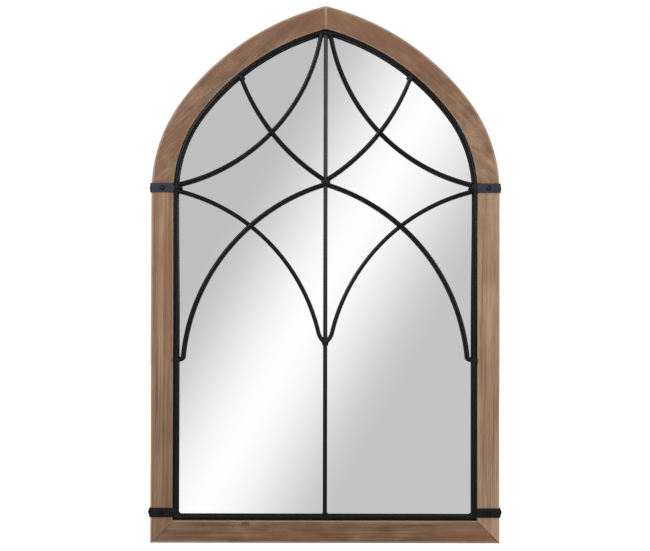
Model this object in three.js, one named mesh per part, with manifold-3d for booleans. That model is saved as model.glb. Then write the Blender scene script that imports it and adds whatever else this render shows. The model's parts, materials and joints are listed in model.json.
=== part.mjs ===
// An arched window mirror: a wooden frame with a pointed arch, a welded grille of bent round rods
// in front of the glass, four steel straps that hold the grille, and the glass and its board behind.
// Millimetres. +Z is up, +X is right, the mirror faces -Y and the wall is the plane y = 0.
import * as THREE from "three";
import { mergeVertices } from "three/addons/utils/BufferGeometryUtils.js";
import Module from "manifold-3d";

const wasm = await Module();
wasm.setup();

// ---- driving dimensions -------------------------------------------------------------------

// wooden frame, seen from the front
const FRAME_WIDTH = 609.6;
const SPRING_HEIGHT = 614; // from the foot of the frame to the joint where the arch starts
const ARCH_RISE = 325.8; // from that joint to the tip of the arch
const HAUNCH_RADIUS = 265.5; // outer edge of the arch's lower, tighter bend
const HAUNCH_ANGLE = THREE.MathUtils.degToRad(36.9); // where the flatter bend takes over
const FACE_WIDTH = 39;
const OUTER_BEVEL = 2.6;
const INNER_BEVEL = 1.8;
const BEVEL_DEPTH = 1.8;

// what the frame holds, front to back
const GLASS_THICKNESS = 4;
const BOARD_THICKNESS = 3;
const BACK_RECESS = 1.55; // how deep the board sits below the back of the frame
const GLASS_LEDGE = 8; // how far the wooden lip covers the glass
const BOARD_LEDGE = 20; // how far the wooden ledge carries the board

// grille
const ROD_DIAMETER = 7.5;
const ROD_SETBACK = 0.5; // rod centres behind the front of the wood
const ROD_TO_WOOD = 0.6; // side gap between the arch's wood and its rod
const FOOT_ROD_TO_WOOD = 2.4; // the same along the foot and the lower part of the stiles
const DRAW_IN_HEIGHT = 380; // from here up to the spring the rod is drawn out to the arch's gap
const GLASS_CLEARANCE = 1.75; // between the rearmost rods and the wooden lip's back
const HUB_HEIGHT = 630; // where four curved rods meet the mullion
const HUB_SPREAD = 3.2; // above and below it
const END_SPREAD = 2; // daylight between two rod ends at the strap
const APEX_ROD_SPREAD = 7.9; // centre of the apex rod's head from the mullion's centre
const APEX_ROD_RADIUS = 328;
const SHOULDER_REACH = 150; // from the mullion to the shoulder rod's head
const SHOULDER_ROD_RADIUS = 363;
const SPRING_ROD_RADIUS = 334;
const HOOK_HEIGHT = 349; // where the spring rod's hooked foot meets the mullion
const HOOK_RISE = 18;
const HOOK_OFFSET = 12;
const FLANK_ROD_RADIUS = 350;
const FLANK_FOOT_HEIGHT = 319.5; // the short tail that ties the flank rod to the side
const FLANK_STANDOFF = 11; // centre to centre from the perimeter rod
const TAIL_BEND_RADIUS = 5;

// weld nuggets over the two places where the rods crowd together: width, height
const APEX_WELD = { width: 28, height: 15 };
const HUB_WELD = { width: 17, height: 31 };
const APEX_WELD_DROP = 4; // below the meeting point of the perimeter rods
const WELD_PROUD = 1.3; // in front of the rods

// straps
const STRAP_WIDTH = 16;
const STRAP_THICKNESS = 2;
const STRAP_BEND_RADIUS = 1.4; // inside of the bend
const STRAP_SIDE_LEG = 15;
const STRAP_ABOVE_SPRING = 6;
const LOWER_STRAP_HEIGHT = 53;
const STRAP_SCREW_DEPTH = 9; // side screw, from the front of the wood

// screws: head diameter, head height, shank diameter, length under the head
const STRAP_SCREW = { head: 8.4, crown: 2.3, shank: 3.5, length: 13 };
const BOARD_SCREW = { head: 6.4, crown: 1.5, shank: 3, length: 11 };
const HANGER_SCREW = { head: 6.4, crown: 1.6, shank: 3.2, length: 12 };

// dowels in the five wooden joints
const DOWEL_DIAMETER = 6;
const DOWEL_LENGTH = 34;
const CORNER_DOWEL_LENGTH = 28;
const DOWEL_WEB = 2.8; // wood between the strap screw and the dowel beside it

// D-ring hangers
const HANGER_DROP = 29; // eye below the spring joint
const HANGER_INSET = 12; // centre from the outer edge
const HANGER_PLATE_WIDTH = 9.6;
const HANGER_PLATE_THICKNESS = 1.2;
const HANGER_SCREW_PITCH = 9;
const HANGER_PLATE_END = 4.8; // from the lower screw to the plate's foot
const RING_TO_SCREW = 0.8; // daylight below the hanging ring
const RING_WIRE = 3;
const RING_INNER_WIDTH = 14;
const RING_STRAIGHT = 4.5; // straight side between the corner and the bow
const RING_CORNER_RADIUS = 2.6;
const RING_SPLIT = 0.6; // butt gap of the wire, inside the eye

// rubber bumpers
const BUMPER_HEIGHT = 6.5; // keeps the hangers' eyes off the wall
const BUMPER_DIAMETER = 12;
const BUMPER_ROUND = 1.6; // edge radius
const BUMPER_INSET = 42;

// clearances
const SEAT_GAP = 0.15; // between two resting faces
const WELD_GAP = 0.2; // between two welded rods
const JOINT_GAP = 0.2; // glue line between two pieces of wood
const HOLE_CLEARANCE = 0.25; // round a screw or a dowel, on the radius
const EDGE_CLEARANCE = 1; // round the glass and the board
const EYE_CLEARANCE = 0.25; // round the ring's wire, on the radius

// fineness of the facets
const ROD_SIDES = 10; // a drawn arc takes half the number, as its curve doubles it
const SCREW_SIDES = 10;
const HOLE_SIDES = 12;
const WELD_SIDES = 10;
const DOME_STEPS = 3;
const ROD_STEP = 18;
const TIGHT_STEP = 3.6; // along a rod's small bends
const RING_STEP = 2.2;
const WOOD_STEP = 16;
const OUTLINE_DIVISIONS = 10;
const STRAP_BEND_DIVISIONS = 2;
const CUT = 80; // size of a cutting block, larger than any section that it trims

// ---- derived sizes --------------------------------------------------------------------------

const half = FRAME_WIDTH / 2;
const frameHeight = SPRING_HEIGHT + ARCH_RISE;
const rodRadius = ROD_DIAMETER / 2;
const bow = rodRadius + WELD_GAP / 2; // each of two crossing rods gives way by this much
const lipThickness = ROD_SETBACK + bow + rodRadius + GLASS_CLEARANCE;
const ledgeDepth = lipThickness + SEAT_GAP + GLASS_THICKNESS + SEAT_GAP;
const frameThickness = ledgeDepth + BOARD_THICKNESS + BACK_RECESS;
const backY = -BUMPER_HEIGHT;
const frontY = backY - frameThickness;
const rodY = frontY + ROD_SETBACK;
const rodInset = FACE_WIDTH + ROD_TO_WOOD + rodRadius; // rod centre from the frame's outer edge
const footRodInset = FACE_WIDTH + FOOT_ROD_TO_WOOD + rodRadius;
const rodX = half - rodInset;
const footRodX = half - footRodInset;
const bottomRodZ = footRodInset;
const upperStrapZ = SPRING_HEIGHT + STRAP_ABOVE_SPRING;
const strapScrewInset = FACE_WIDTH / 2;
const dowelRadius = DOWEL_DIAMETER / 2;
const dowelY = frontY + lipThickness / 2;
const dowelInset = strapScrewInset + STRAP_SCREW.shank / 2 + DOWEL_WEB + dowelRadius;
const boardInset = FACE_WIDTH - BOARD_LEDGE + EDGE_CLEARANCE;
const glassInset = FACE_WIDTH - GLASS_LEDGE + EDGE_CLEARANCE;
const boardFrontY = frontY + ledgeDepth + SEAT_GAP;
const boardBackY = boardFrontY + BOARD_THICKNESS - SEAT_GAP;
const boardScrewInset = FACE_WIDTH - (GLASS_LEDGE + BOARD_LEDGE) / 2;
const landWidth = FACE_WIDTH - BOARD_LEDGE; // flat back of the frame outside the board
const eyeInnerRadius = RING_WIRE / 2 + EYE_CLEARANCE;
const eyeOuterRadius = eyeInnerRadius + HANGER_PLATE_THICKNESS;
const eyeY = backY + SEAT_GAP + eyeOuterRadius;
const eyeZ = SPRING_HEIGHT - HANGER_DROP;
const eyeX = half - HANGER_INSET;
const ringHalf = (RING_INNER_WIDTH + RING_WIRE) / 2; // centreline
const ringReach = RING_CORNER_RADIUS + RING_STRAIGHT + ringHalf - RING_WIRE / 2;
const hangHeight = eyeZ + ringReach; // where the wall hooks bear on the raised rings

// The arch's right outer edge is two arcs that flow into each other and meet the left one in a point.
const haunchCentre = new THREE.Vector2(half - HAUNCH_RADIUS, SPRING_HEIGHT);
const bendDirection = new THREE.Vector2(Math.cos(HAUNCH_ANGLE), Math.sin(HAUNCH_ANGLE));
const bendPoint = haunchCentre.clone().addScaledVector(bendDirection, HAUNCH_RADIUS);
const bendToApex = new THREE.Vector2(0, frameHeight).sub(bendPoint);
const crownRadius = -bendToApex.lengthSq() / (2 * bendToApex.dot(bendDirection));
const crownCentre = bendPoint.clone().addScaledVector(bendDirection, -crownRadius);

// ---- materials ------------------------------------------------------------------------------

const finish = (color, roughness, metalness) =>
  new THREE.MeshStandardMaterial({ color, roughness, metalness });
const stainedWood = finish(0x8c6f5c, 0.7, 0);
const beechDowel = finish(0xc9a878, 0.75, 0);
const blackPaint = finish(0x26272a, 0.5, 0.4);
const silverGlass = finish(0xe8e8e8, 0.03, 1);
const fibreboard = finish(0x9a7b58, 0.9, 0);
const zincSteel = finish(0xb4b6b8, 0.35, 0.9);
const greyRubber = finish(0x3a3a3c, 0.85, 0);

// ---- solids ---------------------------------------------------------------------------------

const toSolid = (geometry) => {
  const bare = geometry.clone();
  bare.deleteAttribute("normal");
  bare.deleteAttribute("uv");
  const merged = mergeVertices(bare, 1e-4);
  return new wasm.Manifold(
    new wasm.Mesh({
      numProp: 3,
      vertProperties: merged.attributes.position.array,
      triVerts: new Uint32Array(merged.index.array),
    }),
  );
};

const toGeometry = (solid) => {
  const mesh = solid.getMesh();
  const geometry = new THREE.BufferGeometry();
  geometry.setAttribute("position", new THREE.BufferAttribute(mesh.vertProperties, 3));
  geometry.setIndex(new THREE.BufferAttribute(mesh.triVerts, 1));
  geometry.computeVertexNormals();
  return geometry;
};

const cutFrom = (solid, cutters) => cutters.reduce((left, cutter) => left.subtract(cutter), solid);

// A block between two corners.
const block = (low, high) => {
  const size = high.map((value, i) => value - low[i]);
  const geometry = new THREE.BoxGeometry(...size);
  return geometry.translate(...low.map((value, i) => value + size[i] / 2));
};

// A round bar from one point to another.
const bar = (from, to, radius, sides = HOLE_SIDES) => {
  const start = new THREE.Vector3(...from);
  const along = new THREE.Vector3(...to).sub(start);
  const turn = new THREE.Quaternion().setFromUnitVectors(
    new THREE.Vector3(0, 1, 0),
    along.clone().normalize(),
  );
  const geometry = new THREE.CylinderGeometry(radius, radius, along.length(), sides);
  geometry.translate(0, along.length() / 2, 0).applyQuaternion(turn);
  return geometry.translate(...start);
};

// The mirror image in the plane x = 0, with its faces turned round to point out again.
const mirrored = (geometry) => {
  const copy = geometry.index ? geometry.clone() : mergeVertices(geometry);
  copy.scale(-1, 1, 1);
  const corners = copy.index.array;
  for (let i = 0; i < corners.length; i += 3) {
    [corners[i], corners[i + 1]] = [corners[i + 1], corners[i]];
  }
  copy.computeVertexNormals();
  return copy;
};

// ---- routes: plane curves in the frame's face, as stations with exact tangents ----------------

class Route extends THREE.Curve {
  constructor(stations) {
    super();
    this.stations = stations;
  }

  station(u) {
    return this.stations[Math.round(u * (this.stations.length - 1))];
  }

  getPoint(t, target = new THREE.Vector3()) {
    return target.copy(this.station(t).point);
  }

  getPointAt(u, target) {
    return this.getPoint(u, target);
  }

  getTangentAt(u, target = new THREE.Vector3()) {
    return target.copy(this.station(u).tangent);
  }
}

const stationAt = (x, z, tx, tz) => ({
  point: new THREE.Vector3(x, 0, z),
  tangent: new THREE.Vector3(tx, 0, tz).normalize(),
});

const straight = (x0, z0, x1, z1) => [
  stationAt(x0, z0, x1 - x0, z1 - z0),
  stationAt(x1, z1, x1 - x0, z1 - z0),
];

const round = (centre, radius, from, to, step) => {
  const count = Math.ceil((Math.abs(to - from) * radius) / step);
  const sense = Math.sign(to - from);
  return Array.from({ length: count + 1 }, (_, i) => {
    const angle = from + ((to - from) * i) / count;
    const x = centre.x + radius * Math.cos(angle);
    const z = centre.y + radius * Math.sin(angle);
    return stationAt(x, z, -sense * Math.sin(angle), sense * Math.cos(angle));
  });
};

// Stretches end to end; a station that repeats the last one is left out.
const chain = (...stretches) => {
  const stations = [];
  for (const station of stretches.flat()) {
    const last = stations.at(-1);
    if (!last || last.point.distanceTo(station.point) > WELD_GAP) stations.push(station);
  }
  return stations;
};

// Lifts a chain out of its plane by a smooth swell that is full at one point and nil at both ends.
const bowed = (stations, peak, height) => {
  const lengths = [0];
  stations.slice(1).forEach(({ point }, i) => {
    lengths.push(lengths[i] + point.distanceTo(stations[i].point));
  });
  const peakPoint = new THREE.Vector3(peak.x, 0, peak.y);
  const misses = stations.map(({ point }) => point.distanceTo(peakPoint));
  const top = lengths[misses.indexOf(Math.min(...misses))];
  const total = lengths.at(-1);
  return stations.map(({ point, tangent }, i) => {
    const before = lengths[i] < top;
    const run = before ? top : total - top;
    const share = (before ? lengths[i] : total - lengths[i]) / run;
    const swell = (height * (1 - Math.cos(Math.PI * share))) / 2;
    const slope = (height * Math.PI * Math.sin(Math.PI * share)) / (2 * run);
    return {
      point: point.clone().setY(swell),
      tangent: tangent.clone().setY(before ? slope : -slope).normalize(),
    };
  });
};

// The arch's right half at some distance inside its outer edge, from the spring to x = overrun.
const archRight = (inset, step, overrun = 0) => {
  const crown = crownRadius - inset;
  const tip = Math.acos((overrun - crownCentre.x) / crown);
  return chain(
    round(haunchCentre, HAUNCH_RADIUS - inset, 0, HAUNCH_ANGLE, step),
    round(crownCentre, crown, HAUNCH_ANGLE, tip, step),
  );
};

const crownHeightAt = (x, inset) => {
  const crown = crownRadius - inset;
  return crownCentre.y + Math.sqrt(crown ** 2 - (x - crownCentre.x) ** 2);
};

// ---- wooden frame ---------------------------------------------------------------------------

// Section of the moulding: u runs in from the outer edge and v runs back from the front.
const mouldingSection = (place) => {
  const points = [
    [OUTER_BEVEL, 0],
    [FACE_WIDTH - INNER_BEVEL, 0],
    [FACE_WIDTH, BEVEL_DEPTH],
    [FACE_WIDTH, lipThickness],
    [FACE_WIDTH - GLASS_LEDGE, lipThickness],
    [FACE_WIDTH - GLASS_LEDGE, ledgeDepth],
    [FACE_WIDTH - BOARD_LEDGE, ledgeDepth],
    [FACE_WIDTH - BOARD_LEDGE, frameThickness],
    [0, frameThickness],
    [0, BEVEL_DEPTH],
  ];
  return new THREE.Shape(points.map(([u, v]) => new THREE.Vector2(...place(u, v))));
};

const dowelBore = (from, to) => {
  const ends = [from, to].map((end) => new THREE.Vector3(...end));
  const reach = ends[1].clone().sub(ends[0]).setLength(HOLE_CLEARANCE);
  return toSolid(
    bar(ends[0].sub(reach).toArray(), ends[1].add(reach).toArray(), dowelRadius + HOLE_CLEARANCE),
  );
};

// Where the board's screws stand on the ledge: [x, z], right half.
const screwOnArc = (centre, radius, angle) => [
  centre.x + (radius - boardScrewInset) * Math.cos(angle),
  centre.y + (radius - boardScrewInset) * Math.sin(angle),
];
const crownTip = Math.acos(-crownCentre.x / (crownRadius - boardScrewInset));
const quarterHeight = SPRING_HEIGHT / 4;
const boardScrewPlaces = {
  rail: [half / 2, boardScrewInset],
  lower_stile: [half - boardScrewInset, quarterHeight],
  upper_stile: [half - boardScrewInset, SPRING_HEIGHT - quarterHeight],
  haunch: screwOnArc(haunchCentre, HAUNCH_RADIUS, HAUNCH_ANGLE / 2),
  crown: screwOnArc(crownCentre, crownRadius, (HAUNCH_ANGLE + crownTip) / 2),
};

// Strap and hanger screws: where they enter the wood, right half.
const strapHeights = { upper: upperStrapZ, lower: LOWER_STRAP_HEIGHT };
const strapScrewX = half - strapScrewInset;
const strapScrewY = frontY + STRAP_SCREW_DEPTH;
const ringFootZ = eyeZ - ringReach - RING_WIRE;
const hangerScrewZ = ringFootZ - RING_TO_SCREW - HANGER_SCREW.head / 2;
const hangerScrewHeights = { upper: hangerScrewZ, lower: hangerScrewZ - HANGER_SCREW_PITCH };

const pilot = (screw, from, direction) => {
  const depth = screw.length + HOLE_CLEARANCE;
  const to = from.map((value, i) => value + direction[i] * depth);
  return toSolid(bar(from, to, screw.shank / 2 + HOLE_CLEARANCE));
};
const strapSeatY = frontY - SEAT_GAP - STRAP_THICKNESS - SEAT_GAP;
const strapSeatX = half + SEAT_GAP + STRAP_THICKNESS + SEAT_GAP;
const plateSeatY = backY + SEAT_GAP + HANGER_PLATE_THICKNESS + SEAT_GAP;
const boardSeatY = boardBackY + SEAT_GAP;

const boardPilots = (...names) =>
  names.map((name) => {
    const [x, z] = boardScrewPlaces[name];
    return pilot(BOARD_SCREW, [x, boardSeatY, z], [0, -1, 0]);
  });
const frontPilot = (z) => pilot(STRAP_SCREW, [strapScrewX, strapSeatY, z], [0, 1, 0]);
const sidePilot = (z) => pilot(STRAP_SCREW, [strapSeatX, strapScrewY, z], [-1, 0, 0]);
const hangerPilots = Object.values(hangerScrewHeights).map((z) =>
  pilot(HANGER_SCREW, [eyeX, plateSeatY, z], [0, -1, 0]),
);

// Dowels: their ends, right half.
const apexDowelZ = (frameHeight + crownHeightAt(0, FACE_WIDTH)) / 2;
const apexDowel = [
  [-DOWEL_LENGTH / 2, dowelY, apexDowelZ],
  [DOWEL_LENGTH / 2, dowelY, apexDowelZ],
];
const springDowel = [
  [half - dowelInset, dowelY, SPRING_HEIGHT - DOWEL_LENGTH / 2],
  [half - dowelInset, dowelY, SPRING_HEIGHT + DOWEL_LENGTH / 2],
];
const cornerReach = CORNER_DOWEL_LENGTH / 2 / Math.SQRT2;
const cornerDowel = [
  [half - FACE_WIDTH / 2 - cornerReach, dowelY, FACE_WIDTH / 2 - cornerReach],
  [half - FACE_WIDTH / 2 + cornerReach, dowelY, FACE_WIDTH / 2 + cornerReach],
];

// Arch: the section swept along the outer edge from the spring to past the apex, then trimmed.
const archPiece = () => {
  const path = archRight(0, WOOD_STEP, -FACE_WIDTH / 2);
  const sweep = new THREE.ExtrudeGeometry(
    mouldingSection((u, v) => [-v, -u]),
    { steps: path.length - 1, extrudePath: new Route(path) },
  ).translate(0, frontY, 0);
  const keep = block(
    [JOINT_GAP / 2, frontY - CUT, SPRING_HEIGHT + JOINT_GAP / 2],
    [half + CUT, backY + CUT, frameHeight + CUT],
  );
  return cutFrom(toSolid(sweep).intersect(toSolid(keep)), [
    dowelBore(...apexDowel),
    dowelBore(...springDowel),
    frontPilot(upperStrapZ),
    sidePilot(upperStrapZ),
    ...boardPilots("haunch", "crown"),
  ]);
};

// The half plane on one side of the right corner's mitre, as a thick wedge.
const mitreWedge = (side) => {
  const gap = (-side * JOINT_GAP) / Math.SQRT2;
  const inner = FACE_WIDTH + CUT;
  const shape = new THREE.Shape([
    new THREE.Vector2(half + CUT, -CUT + gap),
    new THREE.Vector2(half - inner, inner + gap),
    new THREE.Vector2(half - inner + side * CUT * 2, inner + gap + side * CUT * 2),
    new THREE.Vector2(half + CUT + side * CUT * 2, -CUT + gap + side * CUT * 2),
  ]);
  const geometry = new THREE.ExtrudeGeometry(shape, {
    depth: frameThickness + CUT,
    bevelEnabled: false,
  });
  return geometry.rotateX(Math.PI / 2).translate(0, backY + CUT / 2, 0);
};

const stilePiece = () => {
  const post = new THREE.ExtrudeGeometry(
    mouldingSection((u, v) => [half - u, frontY + v]),
    { depth: SPRING_HEIGHT - JOINT_GAP / 2, bevelEnabled: false },
  );
  return cutFrom(toSolid(post).subtract(toSolid(mitreWedge(-1))), [
    dowelBore(...springDowel),
    dowelBore(...cornerDowel),
    frontPilot(LOWER_STRAP_HEIGHT),
    sidePilot(LOWER_STRAP_HEIGHT),
    ...boardPilots("lower_stile", "upper_stile"),
    ...hangerPilots,
  ]);
};

const railPiece = () => {
  const bottom = new THREE.ExtrudeGeometry(
    mouldingSection((u, v) => [-u, frontY + v]),
    { depth: FRAME_WIDTH, bevelEnabled: false },
  );
  bottom.rotateY(Math.PI / 2).translate(-half, 0, 0);
  const oneSide = [toSolid(mitreWedge(1)), dowelBore(...cornerDowel), ...boardPilots("rail")];
  const bothSides = oneSide.flatMap((cutter) => [cutter, toSolid(mirrored(toGeometry(cutter)))]);
  return cutFrom(toSolid(bottom), bothSides);
};

// ---- glass and board --------------------------------------------------------------------------

// The whole outline at some distance inside the frame's outer edge, drawn in x and z.
const archOutline = (inset) => {
  const tip = Math.acos(-crownCentre.x / (crownRadius - inset));
  const haunch = HAUNCH_RADIUS - inset;
  const crown = crownRadius - inset;
  return new THREE.Shape()
    .moveTo(-half + inset, inset)
    .lineTo(half - inset, inset)
    .absarc(haunchCentre.x, haunchCentre.y, haunch, 0, HAUNCH_ANGLE)
    .absarc(crownCentre.x, crownCentre.y, crown, HAUNCH_ANGLE, tip)
    .absarc(-crownCentre.x, crownCentre.y, crown, Math.PI - tip, Math.PI - HAUNCH_ANGLE)
    .absarc(-haunchCentre.x, haunchCentre.y, haunch, Math.PI - HAUNCH_ANGLE, Math.PI);
};

const archedSheet = (inset, thickness, sheetBackY) => {
  const geometry = new THREE.ExtrudeGeometry(archOutline(inset), {
    depth: thickness,
    bevelEnabled: false,
    curveSegments: OUTLINE_DIVISIONS,
  });
  return geometry.rotateX(Math.PI / 2).translate(0, sheetBackY, 0);
};

const glassPane = () => {
  const paneBackY = frontY + lipThickness + SEAT_GAP + GLASS_THICKNESS;
  return toSolid(archedSheet(glassInset, GLASS_THICKNESS, paneBackY));
};

const boardPanel = () => {
  const bores = boardPilots(...Object.keys(boardScrewPlaces));
  const bothSides = bores.flatMap((bore) => [bore, toSolid(mirrored(toGeometry(bore)))]);
  const sheet = archedSheet(boardInset, boardBackY - boardFrontY, boardBackY);
  return cutFrom(toSolid(sheet), bothSides);
};

// ---- grille -----------------------------------------------------------------------------------

const rodAlong = (stations, radius = rodRadius) => {
  const section = new THREE.Shape().absarc(0, 0, radius, 0, Math.PI * 2);
  const geometry = new THREE.ExtrudeGeometry(section, {
    steps: stations.length - 1,
    curveSegments: ROD_SIDES / 2,
    extrudePath: new Route(stations),
  });
  return toSolid(geometry.translate(0, rodY, 0));
};

// The same rod, thicker by the weld gap: it cuts a saddle into the end of a rod that meets it.
const saddleCutter = (stations) => rodAlong(stations, rodRadius + WELD_GAP);

// Centre of the arc of a given radius through two points, on the left of the way from a to b.
const arcCentre = (a, b, radius) => {
  const middle = a.clone().add(b).divideScalar(2);
  const along = b.clone().sub(a);
  const toCentre = new THREE.Vector2(-along.y, along.x).normalize();
  const rise = Math.sqrt(radius ** 2 - along.lengthSq() / 4);
  return middle.addScaledVector(toCentre, rise);
};

const angleFrom = (centre, point) => Math.atan2(point.y - centre.y, point.x - centre.x);

// The arc through two points, bulging to the right of the way from a to b.
const arcBetween = (a, b, radius) => {
  const centre = arcCentre(a, b, radius);
  const from = angleFrom(centre, a);
  const sweep = THREE.MathUtils.euclideanModulo(angleFrom(centre, b) - from, Math.PI * 2);
  return { centre, radius, stations: round(centre, radius, from, from + sweep, ROD_STEP) };
};

// Where two arcs cross: of the two points, the one nearer to a guess.
const crossing = (one, other, guess) => {
  const between = other.centre.clone().sub(one.centre);
  const gap = between.length();
  const reach = (one.radius ** 2 - other.radius ** 2 + gap ** 2) / (2 * gap);
  const rise = Math.sqrt(one.radius ** 2 - reach ** 2);
  const along = between.divideScalar(gap);
  const across = new THREE.Vector2(-along.y, along.x);
  const foot = one.centre.clone().addScaledVector(along, reach);
  const points = [rise, -rise].map((side) => foot.clone().addScaledVector(across, side));
  return points[0].distanceTo(guess) < points[1].distanceTo(guess) ? points[0] : points[1];
};

// An easy S between two upright lines.
const drawnOut = (x0, z0, x1, z1) => {
  const count = Math.ceil((z1 - z0) / (ROD_STEP * 2));
  return Array.from({ length: count + 1 }, (_, i) => {
    const turn = (Math.PI * i) / count;
    const x = x0 + ((x1 - x0) * (1 - Math.cos(turn))) / 2;
    const lean = ((x1 - x0) * Math.PI * Math.sin(turn)) / 2;
    return stationAt(x, z0 + ((z1 - z0) * i) / count, lean, z1 - z0);
  });
};

// Right-hand routes. Each end runs to the centre of the rod that it is welded to.
const perimeterRoute = chain(
  straight(footRodX, bottomRodZ - rodRadius, footRodX, DRAW_IN_HEIGHT),
  drawnOut(footRodX, DRAW_IN_HEIGHT, rodX, SPRING_HEIGHT),
  archRight(rodInset, ROD_STEP),
);
const bottomRoute = straight(-footRodX, bottomRodZ, footRodX, bottomRodZ);
const mullionRoute = straight(0, bottomRodZ, 0, crownHeightAt(0, rodInset));

const endHalfPitch = rodRadius + END_SPREAD / 2;
const apexHead = new THREE.Vector2(APEX_ROD_SPREAD, crownHeightAt(APEX_ROD_SPREAD, rodInset));
const apexFoot = new THREE.Vector2(rodX, upperStrapZ + endHalfPitch);
const shoulderHead = new THREE.Vector2(SHOULDER_REACH, crownHeightAt(SHOULDER_REACH, rodInset));
const shoulderFoot = new THREE.Vector2(0, HUB_HEIGHT + HUB_SPREAD);
const springHead = new THREE.Vector2(rodX, upperStrapZ - endHalfPitch);
const hookStart = new THREE.Vector2(HOOK_OFFSET, HOOK_HEIGHT + HOOK_RISE);
const flankHead = new THREE.Vector2(0, HUB_HEIGHT - HUB_SPREAD);
const tailStart = new THREE.Vector2(
  footRodX - FLANK_STANDOFF,
  FLANK_FOOT_HEIGHT + TAIL_BEND_RADIUS,
);

const apexArc = arcBetween(apexHead, apexFoot, APEX_ROD_RADIUS);
const shoulderArc = arcBetween(shoulderFoot, shoulderHead, SHOULDER_ROD_RADIUS);
const springArc = arcBetween(springHead, hookStart, SPRING_ROD_RADIUS);
const flankArc = arcBetween(tailStart, flankHead, FLANK_ROD_RADIUS);

// The hook: an arc that leaves the spring rod's line and runs down into the mullion.
const hook = () => {
  const last = springArc.stations.at(-1);
  const foot = new THREE.Vector2(0, HOOK_HEIGHT);
  const chord = foot.clone().sub(hookStart);
  const heading = new THREE.Vector2(last.tangent.x, last.tangent.z);
  const turn = heading.angleTo(chord);
  const radius = chord.length() / (2 * Math.sin(turn));
  const centre = hookStart.clone().add(new THREE.Vector2(heading.y, -heading.x).setLength(radius));
  const from = angleFrom(centre, hookStart);
  return round(centre, radius, from, from - 2 * turn, TIGHT_STEP);
};

// The tail: the flank rod's foot turns outwards through a tight bend to reach the perimeter rod.
const tail = () => {
  const centre = new THREE.Vector2(tailStart.x + TAIL_BEND_RADIUS, tailStart.y);
  return chain(
    straight(footRodX, FLANK_FOOT_HEIGHT, centre.x, FLANK_FOOT_HEIGHT),
    round(centre, TAIL_BEND_RADIUS, Math.PI * 1.5, Math.PI, TIGHT_STEP),
  );
};

const upperCrossing = crossing(apexArc, shoulderArc, new THREE.Vector2(rodX / 2, upperStrapZ));
const lowerCrossing = crossing(springArc, flankArc, new THREE.Vector2(rodX / 2, upperStrapZ));
const apexRoute = bowed(apexArc.stations, upperCrossing, bow);
const shoulderRoute = bowed(shoulderArc.stations, upperCrossing, -bow);
const springRoute = bowed(chain(springArc.stations, hook()), lowerCrossing, bow);
const flankRoute = bowed(chain(tail(), flankArc.stations), lowerCrossing, -bow);

const perimeterSaddle = saddleCutter(perimeterRoute);
const otherPerimeterSaddle = toSolid(mirrored(toGeometry(perimeterSaddle)));
const bottomSaddle = saddleCutter(bottomRoute);
const mullionSaddle = saddleCutter(mullionRoute);
const meetingHalf = toSolid(
  block([WELD_GAP / 2, frontY - CUT, 0], [half, backY + CUT, frameHeight]),
);

const perimeterRod = rodAlong(perimeterRoute).intersect(meetingHalf);
const bottomRod = cutFrom(rodAlong(bottomRoute), [perimeterSaddle, otherPerimeterSaddle]);
const mullionRod = cutFrom(rodAlong(mullionRoute), [
  bottomSaddle,
  perimeterSaddle,
  otherPerimeterSaddle,
]);
const shoulderRod = cutFrom(rodAlong(shoulderRoute), [perimeterSaddle, mullionSaddle]);
const apexRod = cutFrom(rodAlong(apexRoute), [perimeterSaddle, mullionSaddle]);
const springRod = cutFrom(rodAlong(springRoute), [perimeterSaddle, mullionSaddle]);
const flankRod = cutFrom(rodAlong(flankRoute), [
  perimeterSaddle,
  mullionSaddle,
  saddleCutter(shoulderRoute),
]);

// A weld nugget: the front half of an egg shape, hollowed where the rods run under it.
const weldNugget = ({ width, height }, z, routes) => {
  const depth = rodRadius + WELD_PROUD;
  const egg = new THREE.SphereGeometry(1, WELD_SIDES, WELD_SIDES);
  egg.scale(width / 2, depth, height / 2).translate(0, rodY, z);
  const front = block([-CUT, rodY - CUT, z - CUT], [CUT, rodY, z + CUT]);
  const saddles = routes.map(saddleCutter);
  const bothSides = saddles.flatMap((cutter) => [cutter, toSolid(mirrored(toGeometry(cutter)))]);
  const parts = cutFrom(toSolid(egg).intersect(toSolid(front)), bothSides).decompose();
  return parts.reduce((best, part) => (part.volume() > best.volume() ? part : best));
};

const apexWeldZ = crownHeightAt(0, rodInset) - APEX_WELD_DROP;
const apexWeld = weldNugget(APEX_WELD, apexWeldZ, [perimeterRoute, mullionRoute, apexRoute]);
const hubRoutes = [mullionRoute, shoulderRoute, flankRoute];
const hubWeld = weldNugget(HUB_WELD, HUB_HEIGHT, hubRoutes);

// ---- straps -------------------------------------------------------------------------------------

// From the perimeter rod across the wood's face, round its outer edge and back along its side.
const strapSection = () => {
  const faceY = frontY - SEAT_GAP;
  const sideX = half + SEAT_GAP;
  const outerBend = STRAP_BEND_RADIUS + STRAP_THICKNESS;
  const bendX = sideX - STRAP_BEND_RADIUS;
  const bendY = faceY + STRAP_BEND_RADIUS;
  return new THREE.Shape()
    .moveTo(rodX, faceY)
    .lineTo(rodX, faceY - STRAP_THICKNESS)
    .absarc(bendX, bendY, outerBend, -Math.PI / 2, 0)
    .lineTo(sideX + STRAP_THICKNESS, frontY + STRAP_SIDE_LEG)
    .lineTo(sideX, frontY + STRAP_SIDE_LEG)
    .absarc(bendX, bendY, STRAP_BEND_RADIUS, 0, -Math.PI / 2, true)
    .lineTo(rodX, faceY);
};

const strap = (z) => {
  const geometry = new THREE.ExtrudeGeometry(strapSection(), {
    depth: STRAP_WIDTH,
    bevelEnabled: false,
    curveSegments: STRAP_BEND_DIVISIONS,
  });
  geometry.translate(0, 0, z - STRAP_WIDTH / 2);
  return cutFrom(toSolid(geometry), [perimeterSaddle, frontPilot(z), sidePilot(z)]);
};

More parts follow.
